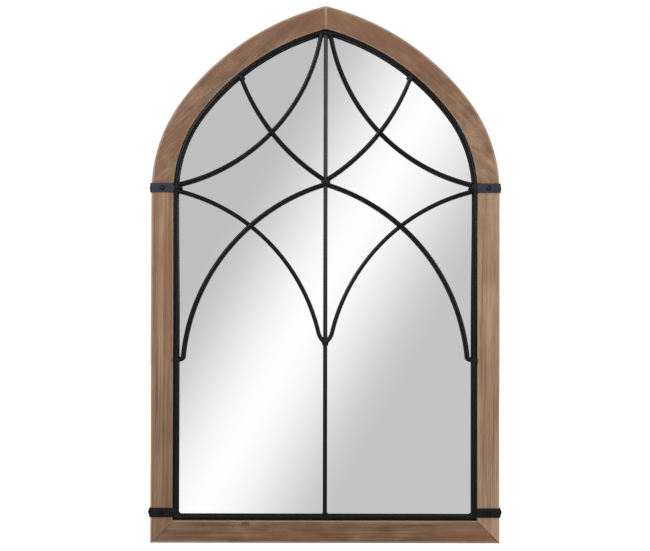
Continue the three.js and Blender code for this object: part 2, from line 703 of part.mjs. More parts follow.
// ---- screws, hangers and bumpers ------------------------------------------------------------------

// A quarter of an ellipse from a rim up and in to its top, as points of a profile.
const quarterEllipse = (innerRadius, baseHeight, width, height) =>
  Array.from({ length: DOME_STEPS + 1 }, (_, i) => {
    const angle = (Math.PI * i) / (2 * DOME_STEPS);
    return new THREE.Vector2(
      innerRadius + width * Math.cos(angle),
      baseHeight + height * Math.sin(angle),
    );
  });

// A screw with a domed head, turned about its axis: the head's seat is at the origin, tip down.
const screwGeometry = ({ head, crown, shank, length }) => {
  const core = shank / 2;
  const profile = [
    new THREE.Vector2(0, -length),
    new THREE.Vector2(core, -length + shank),
    new THREE.Vector2(core, 0),
    ...quarterEllipse(0, 0, head / 2, crown),
  ];
  return new THREE.LatheGeometry(profile, SCREW_SIDES);
};

// A screw whose head looks along a direction.
const screwAt = (screw, place, outward) => {
  const turn = new THREE.Quaternion().setFromUnitVectors(
    new THREE.Vector3(0, 1, 0),
    new THREE.Vector3(...outward),
  );
  return screwGeometry(screw).applyQuaternion(turn).translate(...place);
};

// The hanger's plate: a strip against the wood whose top is rolled into an eye for the ring.
const hangerPlate = () => {
  const foot = hangerScrewHeights.lower - HANGER_PLATE_END;
  const faceY = backY + SEAT_GAP;
  const shoulder = Math.acos(1 - HANGER_PLATE_THICKNESS / eyeOuterRadius);
  const outline = new THREE.Shape()
    .moveTo(faceY, foot)
    .lineTo(faceY + HANGER_PLATE_THICKNESS, foot)
    .absarc(eyeY, eyeZ, eyeOuterRadius, shoulder - Math.PI, Math.PI)
    .lineTo(faceY, foot);
  outline.holes.push(new THREE.Path().absarc(eyeY, eyeZ, eyeInnerRadius, 0, Math.PI * 2, true));
  const strip = new THREE.ExtrudeGeometry(outline, {
    depth: HANGER_PLATE_WIDTH,
    bevelEnabled: false,
    curveSegments: HOLE_SIDES / 2,
  });
  // shape x is y and shape y is z, so the strip's depth has to run along x
  const axes = new THREE.Matrix4().makeBasis(
    new THREE.Vector3(0, 1, 0),
    new THREE.Vector3(0, 0, 1),
    new THREE.Vector3(1, 0, 0),
  );
  strip.applyMatrix4(axes).translate(eyeX - HANGER_PLATE_WIDTH / 2, 0, 0);
  return cutFrom(toSolid(strip), hangerPilots);
};

// The ring hangs from the eye: a D of round wire whose ends meet inside the eye.
const ringRoute = () => {
  const corner = RING_CORNER_RADIUS;
  const cornerX = ringHalf - corner;
  const sideLow = eyeZ - corner - RING_STRAIGHT;
  const cornerPoint = new THREE.Vector2(eyeX + cornerX, eyeZ - corner);
  const farPoint = new THREE.Vector2(eyeX - cornerX, eyeZ - corner);
  return chain(
    straight(eyeX + RING_SPLIT / 2, eyeZ, eyeX + cornerX, eyeZ),
    round(cornerPoint, corner, Math.PI / 2, 0, RING_STEP),
    round(new THREE.Vector2(eyeX, sideLow), ringHalf, 0, -Math.PI, RING_STEP),
    round(farPoint, corner, Math.PI, Math.PI / 2, RING_STEP),
    straight(eyeX - cornerX, eyeZ, eyeX - RING_SPLIT / 2, eyeZ),
  );
};

const hangerRing = () => {
  const stations = ringRoute();
  const section = new THREE.Shape().absarc(0, 0, RING_WIRE / 2, 0, Math.PI * 2);
  const geometry = new THREE.ExtrudeGeometry(section, {
    steps: stations.length - 1,
    curveSegments: ROD_SIDES / 2,
    extrudePath: new Route(stations),
  });
  return toSolid(geometry.translate(0, eyeY, 0));
};

// A rubber button with a rounded edge, stuck to the wood; its flat top bears on the wall.
const bumperGeometry = () => {
  const rim = BUMPER_DIAMETER / 2;
  const profile = [
    new THREE.Vector2(0, SEAT_GAP),
    new THREE.Vector2(rim, SEAT_GAP),
    ...quarterEllipse(rim - BUMPER_ROUND, BUMPER_HEIGHT - BUMPER_ROUND, BUMPER_ROUND, BUMPER_ROUND),
    new THREE.Vector2(0, BUMPER_HEIGHT),
  ];
  const geometry = new THREE.LatheGeometry(profile, HOLE_SIDES);
  return geometry.translate(half - BUMPER_INSET, backY, landWidth / 2);
};

// ---- assembly -------------------------------------------------------------------------------------

const mirror = new THREE.Group();
mirror.position.z = -hangHeight; // the origin is midway between the two hanging points, on the wall

const add = (name, shape, material) => {
  const geometry = shape.isBufferGeometry ? shape : toGeometry(shape);
  const mesh = new THREE.Mesh(geometry, material.clone());
  mesh.name = name;
  mirror.add(mesh);
  return mesh;
};

const addPair = (name, shape, material) => {
  const right = add(`${name}_right`, shape, material);
  add(`${name}_left`, mirrored(right.geometry), material);
};

const dowel = ([from, to]) => bar(from, to, dowelRadius);

addPair("arch", archPiece(), stainedWood);
addPair("stile", stilePiece(), stainedWood);
add("bottom_rail", railPiece(), stainedWood);
add("apex_dowel", dowel(apexDowel), beechDowel);
addPair("spring_dowel", dowel(springDowel), beechDowel);
addPair("corner_dowel", dowel(cornerDowel), beechDowel);

add("mirror_glass", glassPane(), silverGlass);
add("back_board", boardPanel(), fibreboard);
for (const [name, [x, z]] of Object.entries(boardScrewPlaces)) {
  addPair(`board_screw_${name}`, screwAt(BOARD_SCREW, [x, boardSeatY, z], [0, 1, 0]), zincSteel);
}

addPair("perimeter_rod", perimeterRod, blackPaint);
add("bottom_rod", bottomRod, blackPaint);
add("mullion_rod", mullionRod, blackPaint);
addPair("apex_rod", apexRod, blackPaint);
addPair("shoulder_rod", shoulderRod, blackPaint);
addPair("spring_rod", springRod, blackPaint);
addPair("flank_rod", flankRod, blackPaint);
add("apex_weld", apexWeld, blackPaint);
add("hub_weld", hubWeld, blackPaint);

for (const [name, z] of Object.entries(strapHeights)) {
  const frontScrew = screwAt(STRAP_SCREW, [strapScrewX, strapSeatY, z], [0, -1, 0]);
  const sideScrew = screwAt(STRAP_SCREW, [strapSeatX, strapScrewY, z], [1, 0, 0]);
  addPair(`${name}_strap`, strap(z), blackPaint);
  addPair(`${name}_strap_front_screw`, frontScrew, blackPaint);
  addPair(`${name}_strap_side_screw`, sideScrew, blackPaint);
}

addPair("hanger_plate", hangerPlate(), zincSteel);
addPair("hanger_ring", hangerRing(), zincSteel);
for (const [name, z] of Object.entries(hangerScrewHeights)) {
  const screw = screwAt(HANGER_SCREW, [eyeX, plateSeatY, z], [0, 1, 0]);
  addPair(`hanger_${name}_screw`, screw, zincSteel);
}
addPair("bumper", bumperGeometry(), greyRubber);

export default mirror;
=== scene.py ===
"""An arched window mirror: stained wood, a black steel grille, its fittings and a plain studio."""
import json
import math

import bpy
import numpy as np
from mathutils import Matrix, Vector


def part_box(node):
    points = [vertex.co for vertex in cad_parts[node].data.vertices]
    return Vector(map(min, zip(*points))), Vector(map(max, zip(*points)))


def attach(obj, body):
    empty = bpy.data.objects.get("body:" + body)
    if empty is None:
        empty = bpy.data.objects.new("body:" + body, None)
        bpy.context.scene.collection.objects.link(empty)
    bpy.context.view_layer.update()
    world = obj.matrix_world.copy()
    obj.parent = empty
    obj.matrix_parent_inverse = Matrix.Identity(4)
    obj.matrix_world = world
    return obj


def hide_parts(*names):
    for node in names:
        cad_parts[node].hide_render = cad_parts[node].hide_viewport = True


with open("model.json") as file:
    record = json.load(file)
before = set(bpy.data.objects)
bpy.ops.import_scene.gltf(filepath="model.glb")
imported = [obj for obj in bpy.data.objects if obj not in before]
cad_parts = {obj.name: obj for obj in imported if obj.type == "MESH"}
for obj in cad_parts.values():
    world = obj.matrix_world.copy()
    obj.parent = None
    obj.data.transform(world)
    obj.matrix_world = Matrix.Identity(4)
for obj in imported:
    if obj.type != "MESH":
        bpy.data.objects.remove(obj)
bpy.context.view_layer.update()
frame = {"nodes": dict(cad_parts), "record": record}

bl_info = {
    "name": "Arched window mirror",
    "version": (1, 0, 0),
    "blender": (4, 2, 0),
    "location": "View3D > Sidebar > Mirror",
    "description": "Dresses the packed frame of an arched window mirror",
    "category": "Object",
}

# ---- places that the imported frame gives, in metres ---------------------------------------------

MM = 0.001


def corners_of(node):
    """Lowest and highest corner of a node's box."""
    return [np.array(corner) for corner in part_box(node)]


def centre_of(node):
    """Middle of a node's box."""
    low, high = corners_of(node)
    return (low + high) / 2


STILE_LOW, STILE_HIGH = corners_of("stile_right")
ARCH_FOOT_Z = corners_of("arch_right")[0][2]
HALF = STILE_HIGH[0]
FRONT_Y = STILE_LOW[1]
BACK_Y = STILE_HIGH[1]
FOOT_Z = corners_of("bottom_rail")[0][2]
JOINT_GAP = ARCH_FOOT_Z - STILE_HIGH[2]
SPRING_Z = (ARCH_FOOT_Z + STILE_HIGH[2]) / 2
HANGER_EYES = {
    joint["child"]: np.array(joint["pos_m"]) for joint in frame["record"]["behaviour"]["joints"]
}
SIDES = (("right", 1), ("left", -1))

# ---- fixed sizes and places, in metres unless a line says otherwise ----------------------------

ARCH_TIP = FOOT_Z + 939.7 * MM  # where the outer arcs meet, 0.1 mm under the solids' tip

MEMBER_SPACING = 6 * MM  # between a moulding's stations
MEMBER_MARGIN = 8 * MM  # at each joint, where the stations lie closer
JOINT_STATIONS = np.array([0.0, 0.25, 0.6, 1.1, 2.0, 3.0, 4.5]) * MM
JOINT_FALL = 1.1 * MM  # how far from a joint the wood falls away
JOINT_STAIN = 3.0 * MM  # how far from a joint its colour differs
FACE_SWELL = 0.08 * MM  # unevenness of the planed face
WAVES = ((0.031, 1.7, 0.5), (0.0117, 4.1, 0.3), (0.0043, 2.6, 0.2))  # length, phase, share

ARCH_LEAN = math.atan2(285, 250)  # the arch's chord from upright

# How a member's stain looks: short, how short its streaks are; contrast of the streaks; drift,
# lighter upwards for each metre; shade, darker all over; edge, redder beside its middle line;
# blush, redder near the tip; mottle, soft blotches; warmth, more reddish patches; pale_joint,
# pale or dark at the joints.
ARCH_LOOK = {
    "short": 5.0, "contrast": 0.45, "drift": -0.12, "shade": -0.01, "edge": 0.0,
    "blush": 0.75, "mottle": 0.28, "pale_joint": True,
}
STILE_LOOK = {
    "short": 1.0, "contrast": 0.95, "drift": 0.09, "shade": -0.01, "edge": 0.12,
    "blush": 0.0, "mottle": 0.06, "pale_joint": True,
}
RAIL_LOOK = {
    "short": 1.4, "contrast": 0.55, "drift": 0.0, "shade": 0.065, "edge": 0.0,
    "blush": 0.0, "mottle": 0.22, "pale_joint": False, "warmth": 0.03,
}
ARCH_RIGHT_LOOK = ARCH_LOOK | {"warmth": 0.08, "shade": -0.05, "mottle": 0.36}
ARCH_LEFT_LOOK = ARCH_LOOK | {"warmth": 0.06, "shade": -0.035}
STILE_RIGHT_LOOK = STILE_LOOK | {"warmth": -0.04, "shade": -0.085, "drift": 0.02}
STILE_LEFT_LOOK = STILE_LOOK | {"warmth": 0.03, "drift": 0.17, "edge": 0.42, "shade": 0.02}
# Each upright member: lean of its grain, shift of its pattern, look.
UPRIGHT_MEMBERS = {
    "arch_right": (-ARCH_LEAN, (0.31, 0.12, 0.05), ARCH_RIGHT_LOOK),
    "arch_left": (ARCH_LEAN, (0.74, 0.52, 0.33), ARCH_LEFT_LOOK),
    "stile_right": (0.0, (0.21, 0.43, 0.66), STILE_RIGHT_LOOK),
    "stile_left": (0.0, (0.93, 0.17, 0.41), STILE_LEFT_LOOK),
}
RAIL_SHIFT = (0.58, 0.29, 0.87)
DRIFT_MIDDLE = 0.3  # over the foot, where the drift changes nothing
BLUSH_RISE = (0.70, 0.92)  # over the foot, where the blush starts and is full
BESIDE = (4 * MM, 18 * MM)  # from a stile's middle line, where the redder edge starts and is full
KNOT = (-138 * MM, 0.0, FOOT_Z + 34.5 * MM)  # at the top edge of the bottom rail
KNOT_CORE = (4 * MM, 11 * MM)  # where its dark core starts to fade and has faded
KNOT_RINGS = (6 * MM, 34 * MM)  # the same for the rings about it

EDGE_SHADE = 42 * MM  # from the frame's outer edge to where the painted shade on the glass's edge ends
HEAD_SHADE_RING = (2.1 * MM, 2.8 * MM)  # from a screw's middle, where the painted shadow round its head starts and is full
STRAP_BEND_SHADE = (HALF - 1.6 * MM, HALF + 0.2 * MM)  # where a strap turns round the frame's edge, darkened there as painted shade
SHADED_DULL_BELOW = 0.6  # over the foot, where the coat's painted shade and its extra roughness end
SHEEN_RISE = (0.15, 0.75)  # over the foot, where the mullion's painted highlight starts and is full

ROD_SPACING = 5 * MM  # between a rod's stations
BEND_SPACING = 0.7 * MM  # the same in its small bends
ROD_END = 0.8 * MM  # rounding of a rod's ends
ROD_UNEVEN = 0.05 * MM  # how much thinner a rod is in places

# Weld eggs, in millimetres: middle from the joint (x, y, z), radii (across, deep, high), then
# the lean in radians, and for the two nuggets a seed and the unevenness.
NUGGETS = {
    "apex": (
        ((2.2, 2.8, 0.2), (10.0, 4.2, 5.8), 0.1, 1.3, 0.16),
        ((-4.2, 2.6, 1.2), (4.6, 3.7, 4.2), 0.3, 2.2, 0.14),
        ((7.8, 2.6, -0.6), (5.0, 3.7, 4.4), -0.3, 3.1, 0.14),
    ),
    "hub": (
        ((0.3, 3.0, 0.5), (6.2, 4.3, 10.5), 0.05, 4.4, 0.14),
        ((-3.6, 3.0, -1.5), (4.4, 3.7, 5.6), 0.5, 5.2, 0.14),
        ((4.0, 3.0, 1.0), (4.4, 3.6, 5.8), -0.5, 6.9, 0.14),
    ),
}
BEADS = {
    "shoulder": (((-2.2, 0.0, -3.2), (5.2, 3.7, 5.6), -0.9),),
    "strap": (
        ((-2.6, 0.0, 0.0), (3.6, 4.0, 8.8), 0.0),
        ((-5.2, 0.0, 0.0), (4.8, 3.6, 4.6), 0.0),
        ((3.0, -1.2, 5.5), (2.6, 2.2, 3.4), 0.4),
        ((3.0, -1.2, -5.2), (2.6, 2.2, 3.6), -0.4),
    ),
    "hook": (((1.8, 0.0, -1.2), (3.8, 3.8, 5.6), 0.3),),
    "tail": (
        ((-3.0, 0.0, 0.0), (3.2, 4.0, 4.6), 0.0),
        ((3.6, -1.2, -1.2), (3.0, 2.6, 5.6), 0.0),
    ),
    "corner": (
        ((-3.1, 0.0, 3.1), (3.0, 3.5, 4.5), 0.8),
        ((2.2, 0.0, -0.8), (3.2, 3.4, 3.6), 0.0),
        ((3.0, -1.4, 8.0), (2.6, 2.2, 4.4), 0.0),
    ),
}
MULLION_BEAD = ((0.0, 0.0, 0.6), (5.2, 4.0, 2.4), 0.0, 8.3)

STRAP_EDGE = 0.45 * MM  # rounding of a strap's arrises
STRAP_SHANK = 3.5 * MM
BOARD_SHANK = 3.0 * MM
HANGER_SHANK = 3.2 * MM
THREAD_PITCH = 1.3 * MM
FLAT_HEAD = 0.55  # height of an upper strap's side head, as a share of the others'
HEAD_RIM = 0.25  # height of a head's rim, as a share of its crown
RECESS_WIDTH, RECESS_REACH = 0.11, 0.46  # half of a slot's width and length, of a head's radius
RECESS_DEPTH = 0.55  # of a head's crown
PLATE_EDGE = 0.2 * MM  # rounding of a hanger plate's arrises
PLATE_STATIONS = np.array([0.02, 0.15, 0.4, 0.8, 1.4, 2.2, 3.2, 4.4]) * MM  # over its round foot
PLATE_STRAIGHT = 6 * MM  # over its foot, where it is straight
RING_SPLIT = 0.3 * MM  # half of the gap between the ends of a ring's wire
RING_SLACK = 0.01 * MM  # off a ring's radius, so that it stays within its node
RING_SPACING = 0.4 * MM
BUMPER_SPACING = 0.32 * MM

FLOOR_REACH = 7.0
FLOOR_DROP = 0.2 * MM  # under the foot
BELOW_MIDDLE = np.array([0.0, 0.0, -0.1])  # what the lamps look at
LAMPS = {  # place and width of each lamp
    "key": ((-2.3, -2.7, 1.7), 1.6),
    "fill": ((2.6, -2.6, 0.7), 1.8),
    "rear": ((1.6, 2.8, 1.5), 2.0),
}
# The gleam in the mirror, by the slant of a reflected way: its part along X times the lean, less
# its part along Z. It brightens and then darkens again, both by a smooth step.
GLEAM_LEAN, GLEAM_SHIFT = 1.8, 0.012
GLEAM_RISE, GLEAM_BEFORE = (-0.165, 0.005), 0.53  # where it brightens, brightness before that
GLEAM_FALL, GLEAM_AFTER = (0.0, 0.166), 0.56  # where it darkens, brightness after that
AHEAD = (0.3, 0.8)  # how far a way must point to the front for the gleam to start and be full
ASIDE = 0.09  # brightness of what the rods reflect from the sides

# ---- settings ----------------------------------------------------------------------------------


def linear(red, green, blue):
    """A colour as it is seen on a screen, 0 to 255, in the linear values of the shaders."""
    shares = np.array([red, green, blue]) / 255
    return tuple(np.where(shares > 0.04045, ((shares + 0.055) / 1.055) ** 2.4, shares / 12.92))


def length(label, note, millimetres):
    """A length setting."""
    return bpy.props.FloatProperty(
        name=label, description=note, default=millimetres * MM, unit="LENGTH", precision=4
    )


def colour(label, note, red, green, blue):
    """A colour setting, given as it is seen on a screen."""
    return bpy.props.FloatVectorProperty(
        name=label, description=note, default=linear(red, green, blue), size=3, subtype="COLOR"
    )


def angle(label, note, degrees):
    """An angle setting."""
    return bpy.props.FloatProperty(
        name=label, description=note, default=math.radians(degrees), subtype="ANGLE"
    )


def number(label, note, value, unit="NONE"):
    """A plain number, or watts, or the millimetres of a lens."""
    return bpy.props.FloatProperty(name=label, description=note, default=value, unit=unit)


class WoodSettings(bpy.types.PropertyGroup):
    """Sizes of the moulding and colours of its stain."""

    haunch_radius: length("Haunch radius", "Outer edge of the arch's lower bend", 265.5)
    haunch_angle: angle("Haunch angle", "Where the flatter bend takes over", 36.9)
    face_width: length("Face width", "Width of the moulding's front", 39)
    outer_round: length("Outer rounding", "Width of the outer rounded arris", 2.6)
    inner_round: length("Inner rounding", "Width of the inner rounded arris", 1.8)
    round_depth: length("Rounding depth", "Depth of both roundings", 1.8)
    back_round: length("Back rounding", "Radius of the arrises at the back", 0.6)
    lip: length("Lip", "Thickness of the wood in front of the glass", 9.85)
    ledge: length("Ledge", "Depth from the front to the board's ledge", 14.15)
    glass_ledge: length("Glass ledge", "How far the lip covers the glass", 8)
    board_ledge: length("Board ledge", "How far the ledge carries the board", 20)
    wobble: length("Wobble", "Unevenness of the sanded arrises", 0.22)
    joint_ease: length("Joint ease", "How far the wood falls away at a joint", 0.3)
    pale: colour("Pale grain", "Lightest streaks of the stain", 180, 148, 120)
    brown: colour("Brown grain", "Middle tone of the stain", 142, 112, 89)
    dark: colour("Dark grain", "Darkest streaks of the stain", 96, 70, 50)
    red: colour("Reddish grain", "Warm patches", 132, 92, 67)
    grey: colour("Grey wash", "Weathered patches", 150, 128, 106)
    # Paler rounded arrises: partly rubbed wear and partly a painted highlight.
    wear_and_sheen: colour("Worn arris", "Bare wood where the stain is rubbed off", 182, 160, 138)


class GrilleSettings(bpy.types.PropertyGroup):
    """Sizes of the bent rods and colours of their coat."""

    diameter: length("Rod diameter", "Round steel rod", 7.5)
    setback: length("Rod setback", "Rod centres behind the front of the wood", 0.5)
    bow: length("Bow", "How far each of two crossing rods gives way", 3.78)
    arch_inset: length("Inset at the arch", "Outer edge to rod centre", 43.35)
    foot_inset: length("Inset at the foot", "Outer edge to rod centre", 45.15)
    draw_in: length("Draw-in height", "Where the rod leaves its lower line", 380)
    hub: length("Hub height", "Where four curved rods meet the mullion", 630)
    hub_spread: length("Hub spread", "Rod ends above and below the hub", 3.2)
    apex_spread: length("Apex spread", "Head of the apex rod from the mullion", 7.9)
    apex_radius: length("Apex rod radius", "Bend of the apex rod", 328)
    shoulder_reach: length("Shoulder reach", "Head of the shoulder rod from the mullion", 150)
    shoulder_radius: length("Shoulder rod radius", "Bend of the shoulder rod", 363)
    strap_height: length("Strap height", "Where two rods meet the side", 620)
    strap_spread: length("Strap spread", "Rod ends above and below the strap's middle", 4.75)
    spring_radius: length("Spring rod radius", "Bend of the spring rod", 334)
    hook_height: length("Hook height", "Where the hooked foot meets the mullion", 349)
    hook_rise: length("Hook rise", "Height of the hook", 18)
    hook_offset: length("Hook offset", "Where the hook starts, from the mullion", 12)
    flank_radius: length("Flank rod radius", "Bend of the flank rod", 350)
    tail_height: length("Tail height", "The flank rod's bent tail", 319.5)
    tail_standoff: length("Tail standoff", "Flank rod from the side rod", 11)
    tail_bend: length("Tail bend", "Radius of the tail's bend", 5)
    coat: colour("Coat", "Satin black of the rods", 13, 14, 16)
    # The straps' coats are lighter and bluer than the rods' as a painted sheen, the upper pair
    # painted lit and the lower pair painted shaded.
    upper_strap_lit_coat: colour("Strap coat", "Blue-grey black of the upper straps", 54, 57, 67)
    lower_strap_shaded_coat: colour("Lower strap coat", "Blue-grey black of the lower straps", 24, 26, 30)


class FittingSettings(bpy.types.PropertyGroup):
    """Sizes of straps, screws, hangers and bumpers."""

    strap_width: length("Strap width", "Flat steel", 16)
    strap_thickness: length("Strap thickness", "Flat steel", 2)
    strap_bend: length("Strap bend", "Inner radius of the bend", 1.4)
    strap_leg: length("Strap leg", "Along the side, from the front of the wood", 15)
    seat: length("Seat", "Gap under a strap or a plate", 0.15)
    strap_head: length("Strap screw head", "Diameter", 8.4)
    strap_crown: length("Strap screw crown", "Height of the head", 2.3)
    board_head: length("Board screw head", "Diameter", 6.4)
    board_crown: length("Board screw crown", "Height of the head", 1.5)
    hanger_crown: length("Hanger screw crown", "Height of the head", 1.6)
    plate_width: length("Hanger plate width", "Sheet steel", 9.6)
    plate_thickness: length("Hanger plate thickness", "Sheet steel", 1.2)
    ring_wire: length("Ring wire", "Diameter", 3)
    ring_width: length("Ring width", "Inside", 14)
    ring_side: length("Ring side", "Straight side of the ring", 4.5)
    ring_corner: length("Ring corner", "Radius", 2.6)
    bumper_round: length("Bumper rounding", "Edge radius", 1.6)


class StageSettings(bpy.types.PropertyGroup):
    """Camera, lamps and surroundings."""

    distance: length("Camera distance", "From the front of the wood", 2600)
    camera_height: length("Camera height", "Above the foot", 420.8)
    camera_side: length("Camera side", "Off the middle", -0.6)
    pitch: angle("Pitch", "How far the camera looks up", 1.01)
    roll: angle("Roll", "Turn about the camera's own axis", 0.12)
    lens: number("Lens", "Focal length for a 36 mm sensor", 82.38, "CAMERA")
    key: number("Key lamp", "The lamp on the upper left", 62.0, "POWER")
    fill: number("Fill lamp", "The lamp on the right", 26.0, "POWER")
    rear: number("Rear lamp", "The lamp behind", 60.0, "POWER")
    ambient: number("Ambient", "Even light from all sides", 0.5)
    floor_glow: number("Floor glow", "White that the camera sees under the shadow", 0.8)


def settings():
    """The scene's settings for this object."""
    return bpy.context.scene.window_mirror


class MirrorSettings(bpy.types.PropertyGroup):
    """All settings of the mirror."""

    wood: bpy.props.PointerProperty(type=WoodSettings, name="Wood", description="Moulding")
    grille: bpy.props.PointerProperty(type=GrilleSettings, name="Grille", description="Rods")
    fittings: bpy.props.PointerProperty(type=FittingSettings, name="Fittings", description="Steel")
    stage: bpy.props.PointerProperty(type=StageSettings, name="Stage", description="Studio")


# ---- shader expressions ------------------------------------------------------------------------


class Value:
    """A socket that can be used in arithmetic: each operation adds one Math node."""

    def __init__(self, shader, socket):
        self.shader = shader
        self.socket = socket

    def math(self, operation, *others):
        """This value and others through one Math node."""
        values = dict(enumerate((self, *others)))
        return self.shader.add("ShaderNodeMath", {"operation": operation}, values).out()

    def __add__(self, other):
        return self.math("ADD", other)

    __radd__ = __add__

    def __mul__(self, other):
        return self.math("MULTIPLY", other)

    __rmul__ = __mul__

    def __sub__(self, other):
        return self.math("SUBTRACT", other)

    def __rsub__(self, other):
        return self.math("MULTIPLY", -1.0).math("ADD", other)

    def __abs__(self):
        return self.math("ABSOLUTE")

    def between(self, low, high):
        """0 below low, 1 above high and a smooth step in between."""
        options = {"interpolation_type": "SMOOTHSTEP", "clamp": True}
        sockets = {"Value": self, "From Min": low, "From Max": high}
        return self.shader.add("ShaderNodeMapRange", options, sockets).out()


class Made:
    """A node that was just made, with its outputs as values."""

    def __init__(self, shader, node):
        self.shader = shader
        self.node = node

    def out(self, name=0):
        """One output."""
        return Value(self.shader, self.node.outputs[name])


class Shader:
    """Builds one node tree."""

    def __init__(self, tree):
        self.tree = tree
        tree.nodes.clear()

    def add(self, kind, options=None, sockets=None):
        """One node: its type, its settings, and the values or links of its sockets."""
        node = self.tree.nodes.new(kind)
        for name, option in (options or {}).items():
            if name == "stops":
                self.set_stops(node.color_ramp, option)
            else:
                setattr(node, name, option)
        for name, given in (sockets or {}).items():
            if isinstance(given, Value):
                self.tree.links.new(given.socket, node.inputs[name])
            else:
                node.inputs[name].default_value = given
        return Made(self, node)

    def set_stops(self, ramp, stops):
        """Places a ramp's stops: pairs of position and colour."""
        while len(ramp.elements) < len(stops):
            ramp.elements.new(1.0)
        for element, (position, shade) in zip(ramp.elements, stops):
            element.position = position
            element.color = (*shade, 1.0)

    def place(self, turn=(0.0, 0.0, 0.0), stretch=(1.0, 1.0, 1.0), shift=(0.0, 0.0, 0.0)):
        """Object coordinates, shifted, turned and then stretched."""
        spot = self.add("ShaderNodeTexCoord").out("Object")
        sockets = {"Vector": spot, "Location": shift, "Rotation": turn}
        moved = self.add("ShaderNodeMapping", {}, sockets).out()
        return self.add("ShaderNodeMapping", {}, {"Vector": moved, "Scale": stretch}).out()

    def noise(self, vector, scale, detail=3.0, roughness=0.55, distortion=0.0):
        """Soft noise, about 0.5 on average."""
        sockets = {"Vector": vector, "Scale": scale, "Detail": detail}
        sockets |= {"Roughness": roughness, "Distortion": distortion}
        return self.add("ShaderNodeTexNoise", {}, sockets).out()

    def part(self, vector, axis):
        """One part of a vector: X, Y or Z."""
        return self.add("ShaderNodeSeparateXYZ", {}, {0: vector}).out(axis)

    def distance(self, point, upright=1.0):
        """How far the surface lies from a point in the face's plane, heights stretched."""
        centred = self.place(stretch=(1.0, 0.0, upright), shift=tuple(-part for part in point))
        return self.add("ShaderNodeVectorMath", {"operation": "LENGTH"}, {0: centred}).out("Value")

    def attribute(self, name):
        """A number that the piece's mesh carries."""
        return self.add("ShaderNodeAttribute", {"attribute_name": name}).out("Fac")

    def mix(self, share, first, second):
        """Two colours mixed."""
        made = self.add("ShaderNodeMix", {"data_type": "RGBA"})
        for name, given in (("Factor_Float", share), ("A_Color", first), ("B_Color", second)):
            socket = next(s for s in made.node.inputs if s.identifier == name)
            if isinstance(given, Value):
                self.tree.links.new(given.socket, socket)
            elif name == "Factor_Float":
                socket.default_value = given
            else:
                socket.default_value = (*given, 1.0)
        output = next(s for s in made.node.outputs if s.identifier == "Result_Color")
        return Value(self, output)

    def finish(self, colour_value, roughness, height=None, depth=0.0, gloss=0.5, metal=0.0):
        """The surface: colour and roughness vary, a height gives the bump, the rest is even."""
        sockets = {
            "Base Color": colour_value,
            "Roughness": roughness,
            "Specular IOR Level": gloss,
            "Metallic": metal,
        }
        if height is not None:
            bump = {"Height": height, "Strength": 1.0, "Distance": depth}
            sockets["Normal"] = self.add("ShaderNodeBump", {}, bump).out("Normal")
        surface = self.add("ShaderNodeBsdfPrincipled", {}, sockets)
        self.add("ShaderNodeOutputMaterial", {}, {"Surface": surface.out("BSDF")})


def new_material(name):
    """An empty material and its shader builder."""
    material = bpy.data.materials.new(name)
    material.use_nodes = True
    return material, Shader(material.node_tree)


# ---- materials ---------------------------------------------------------------------------------


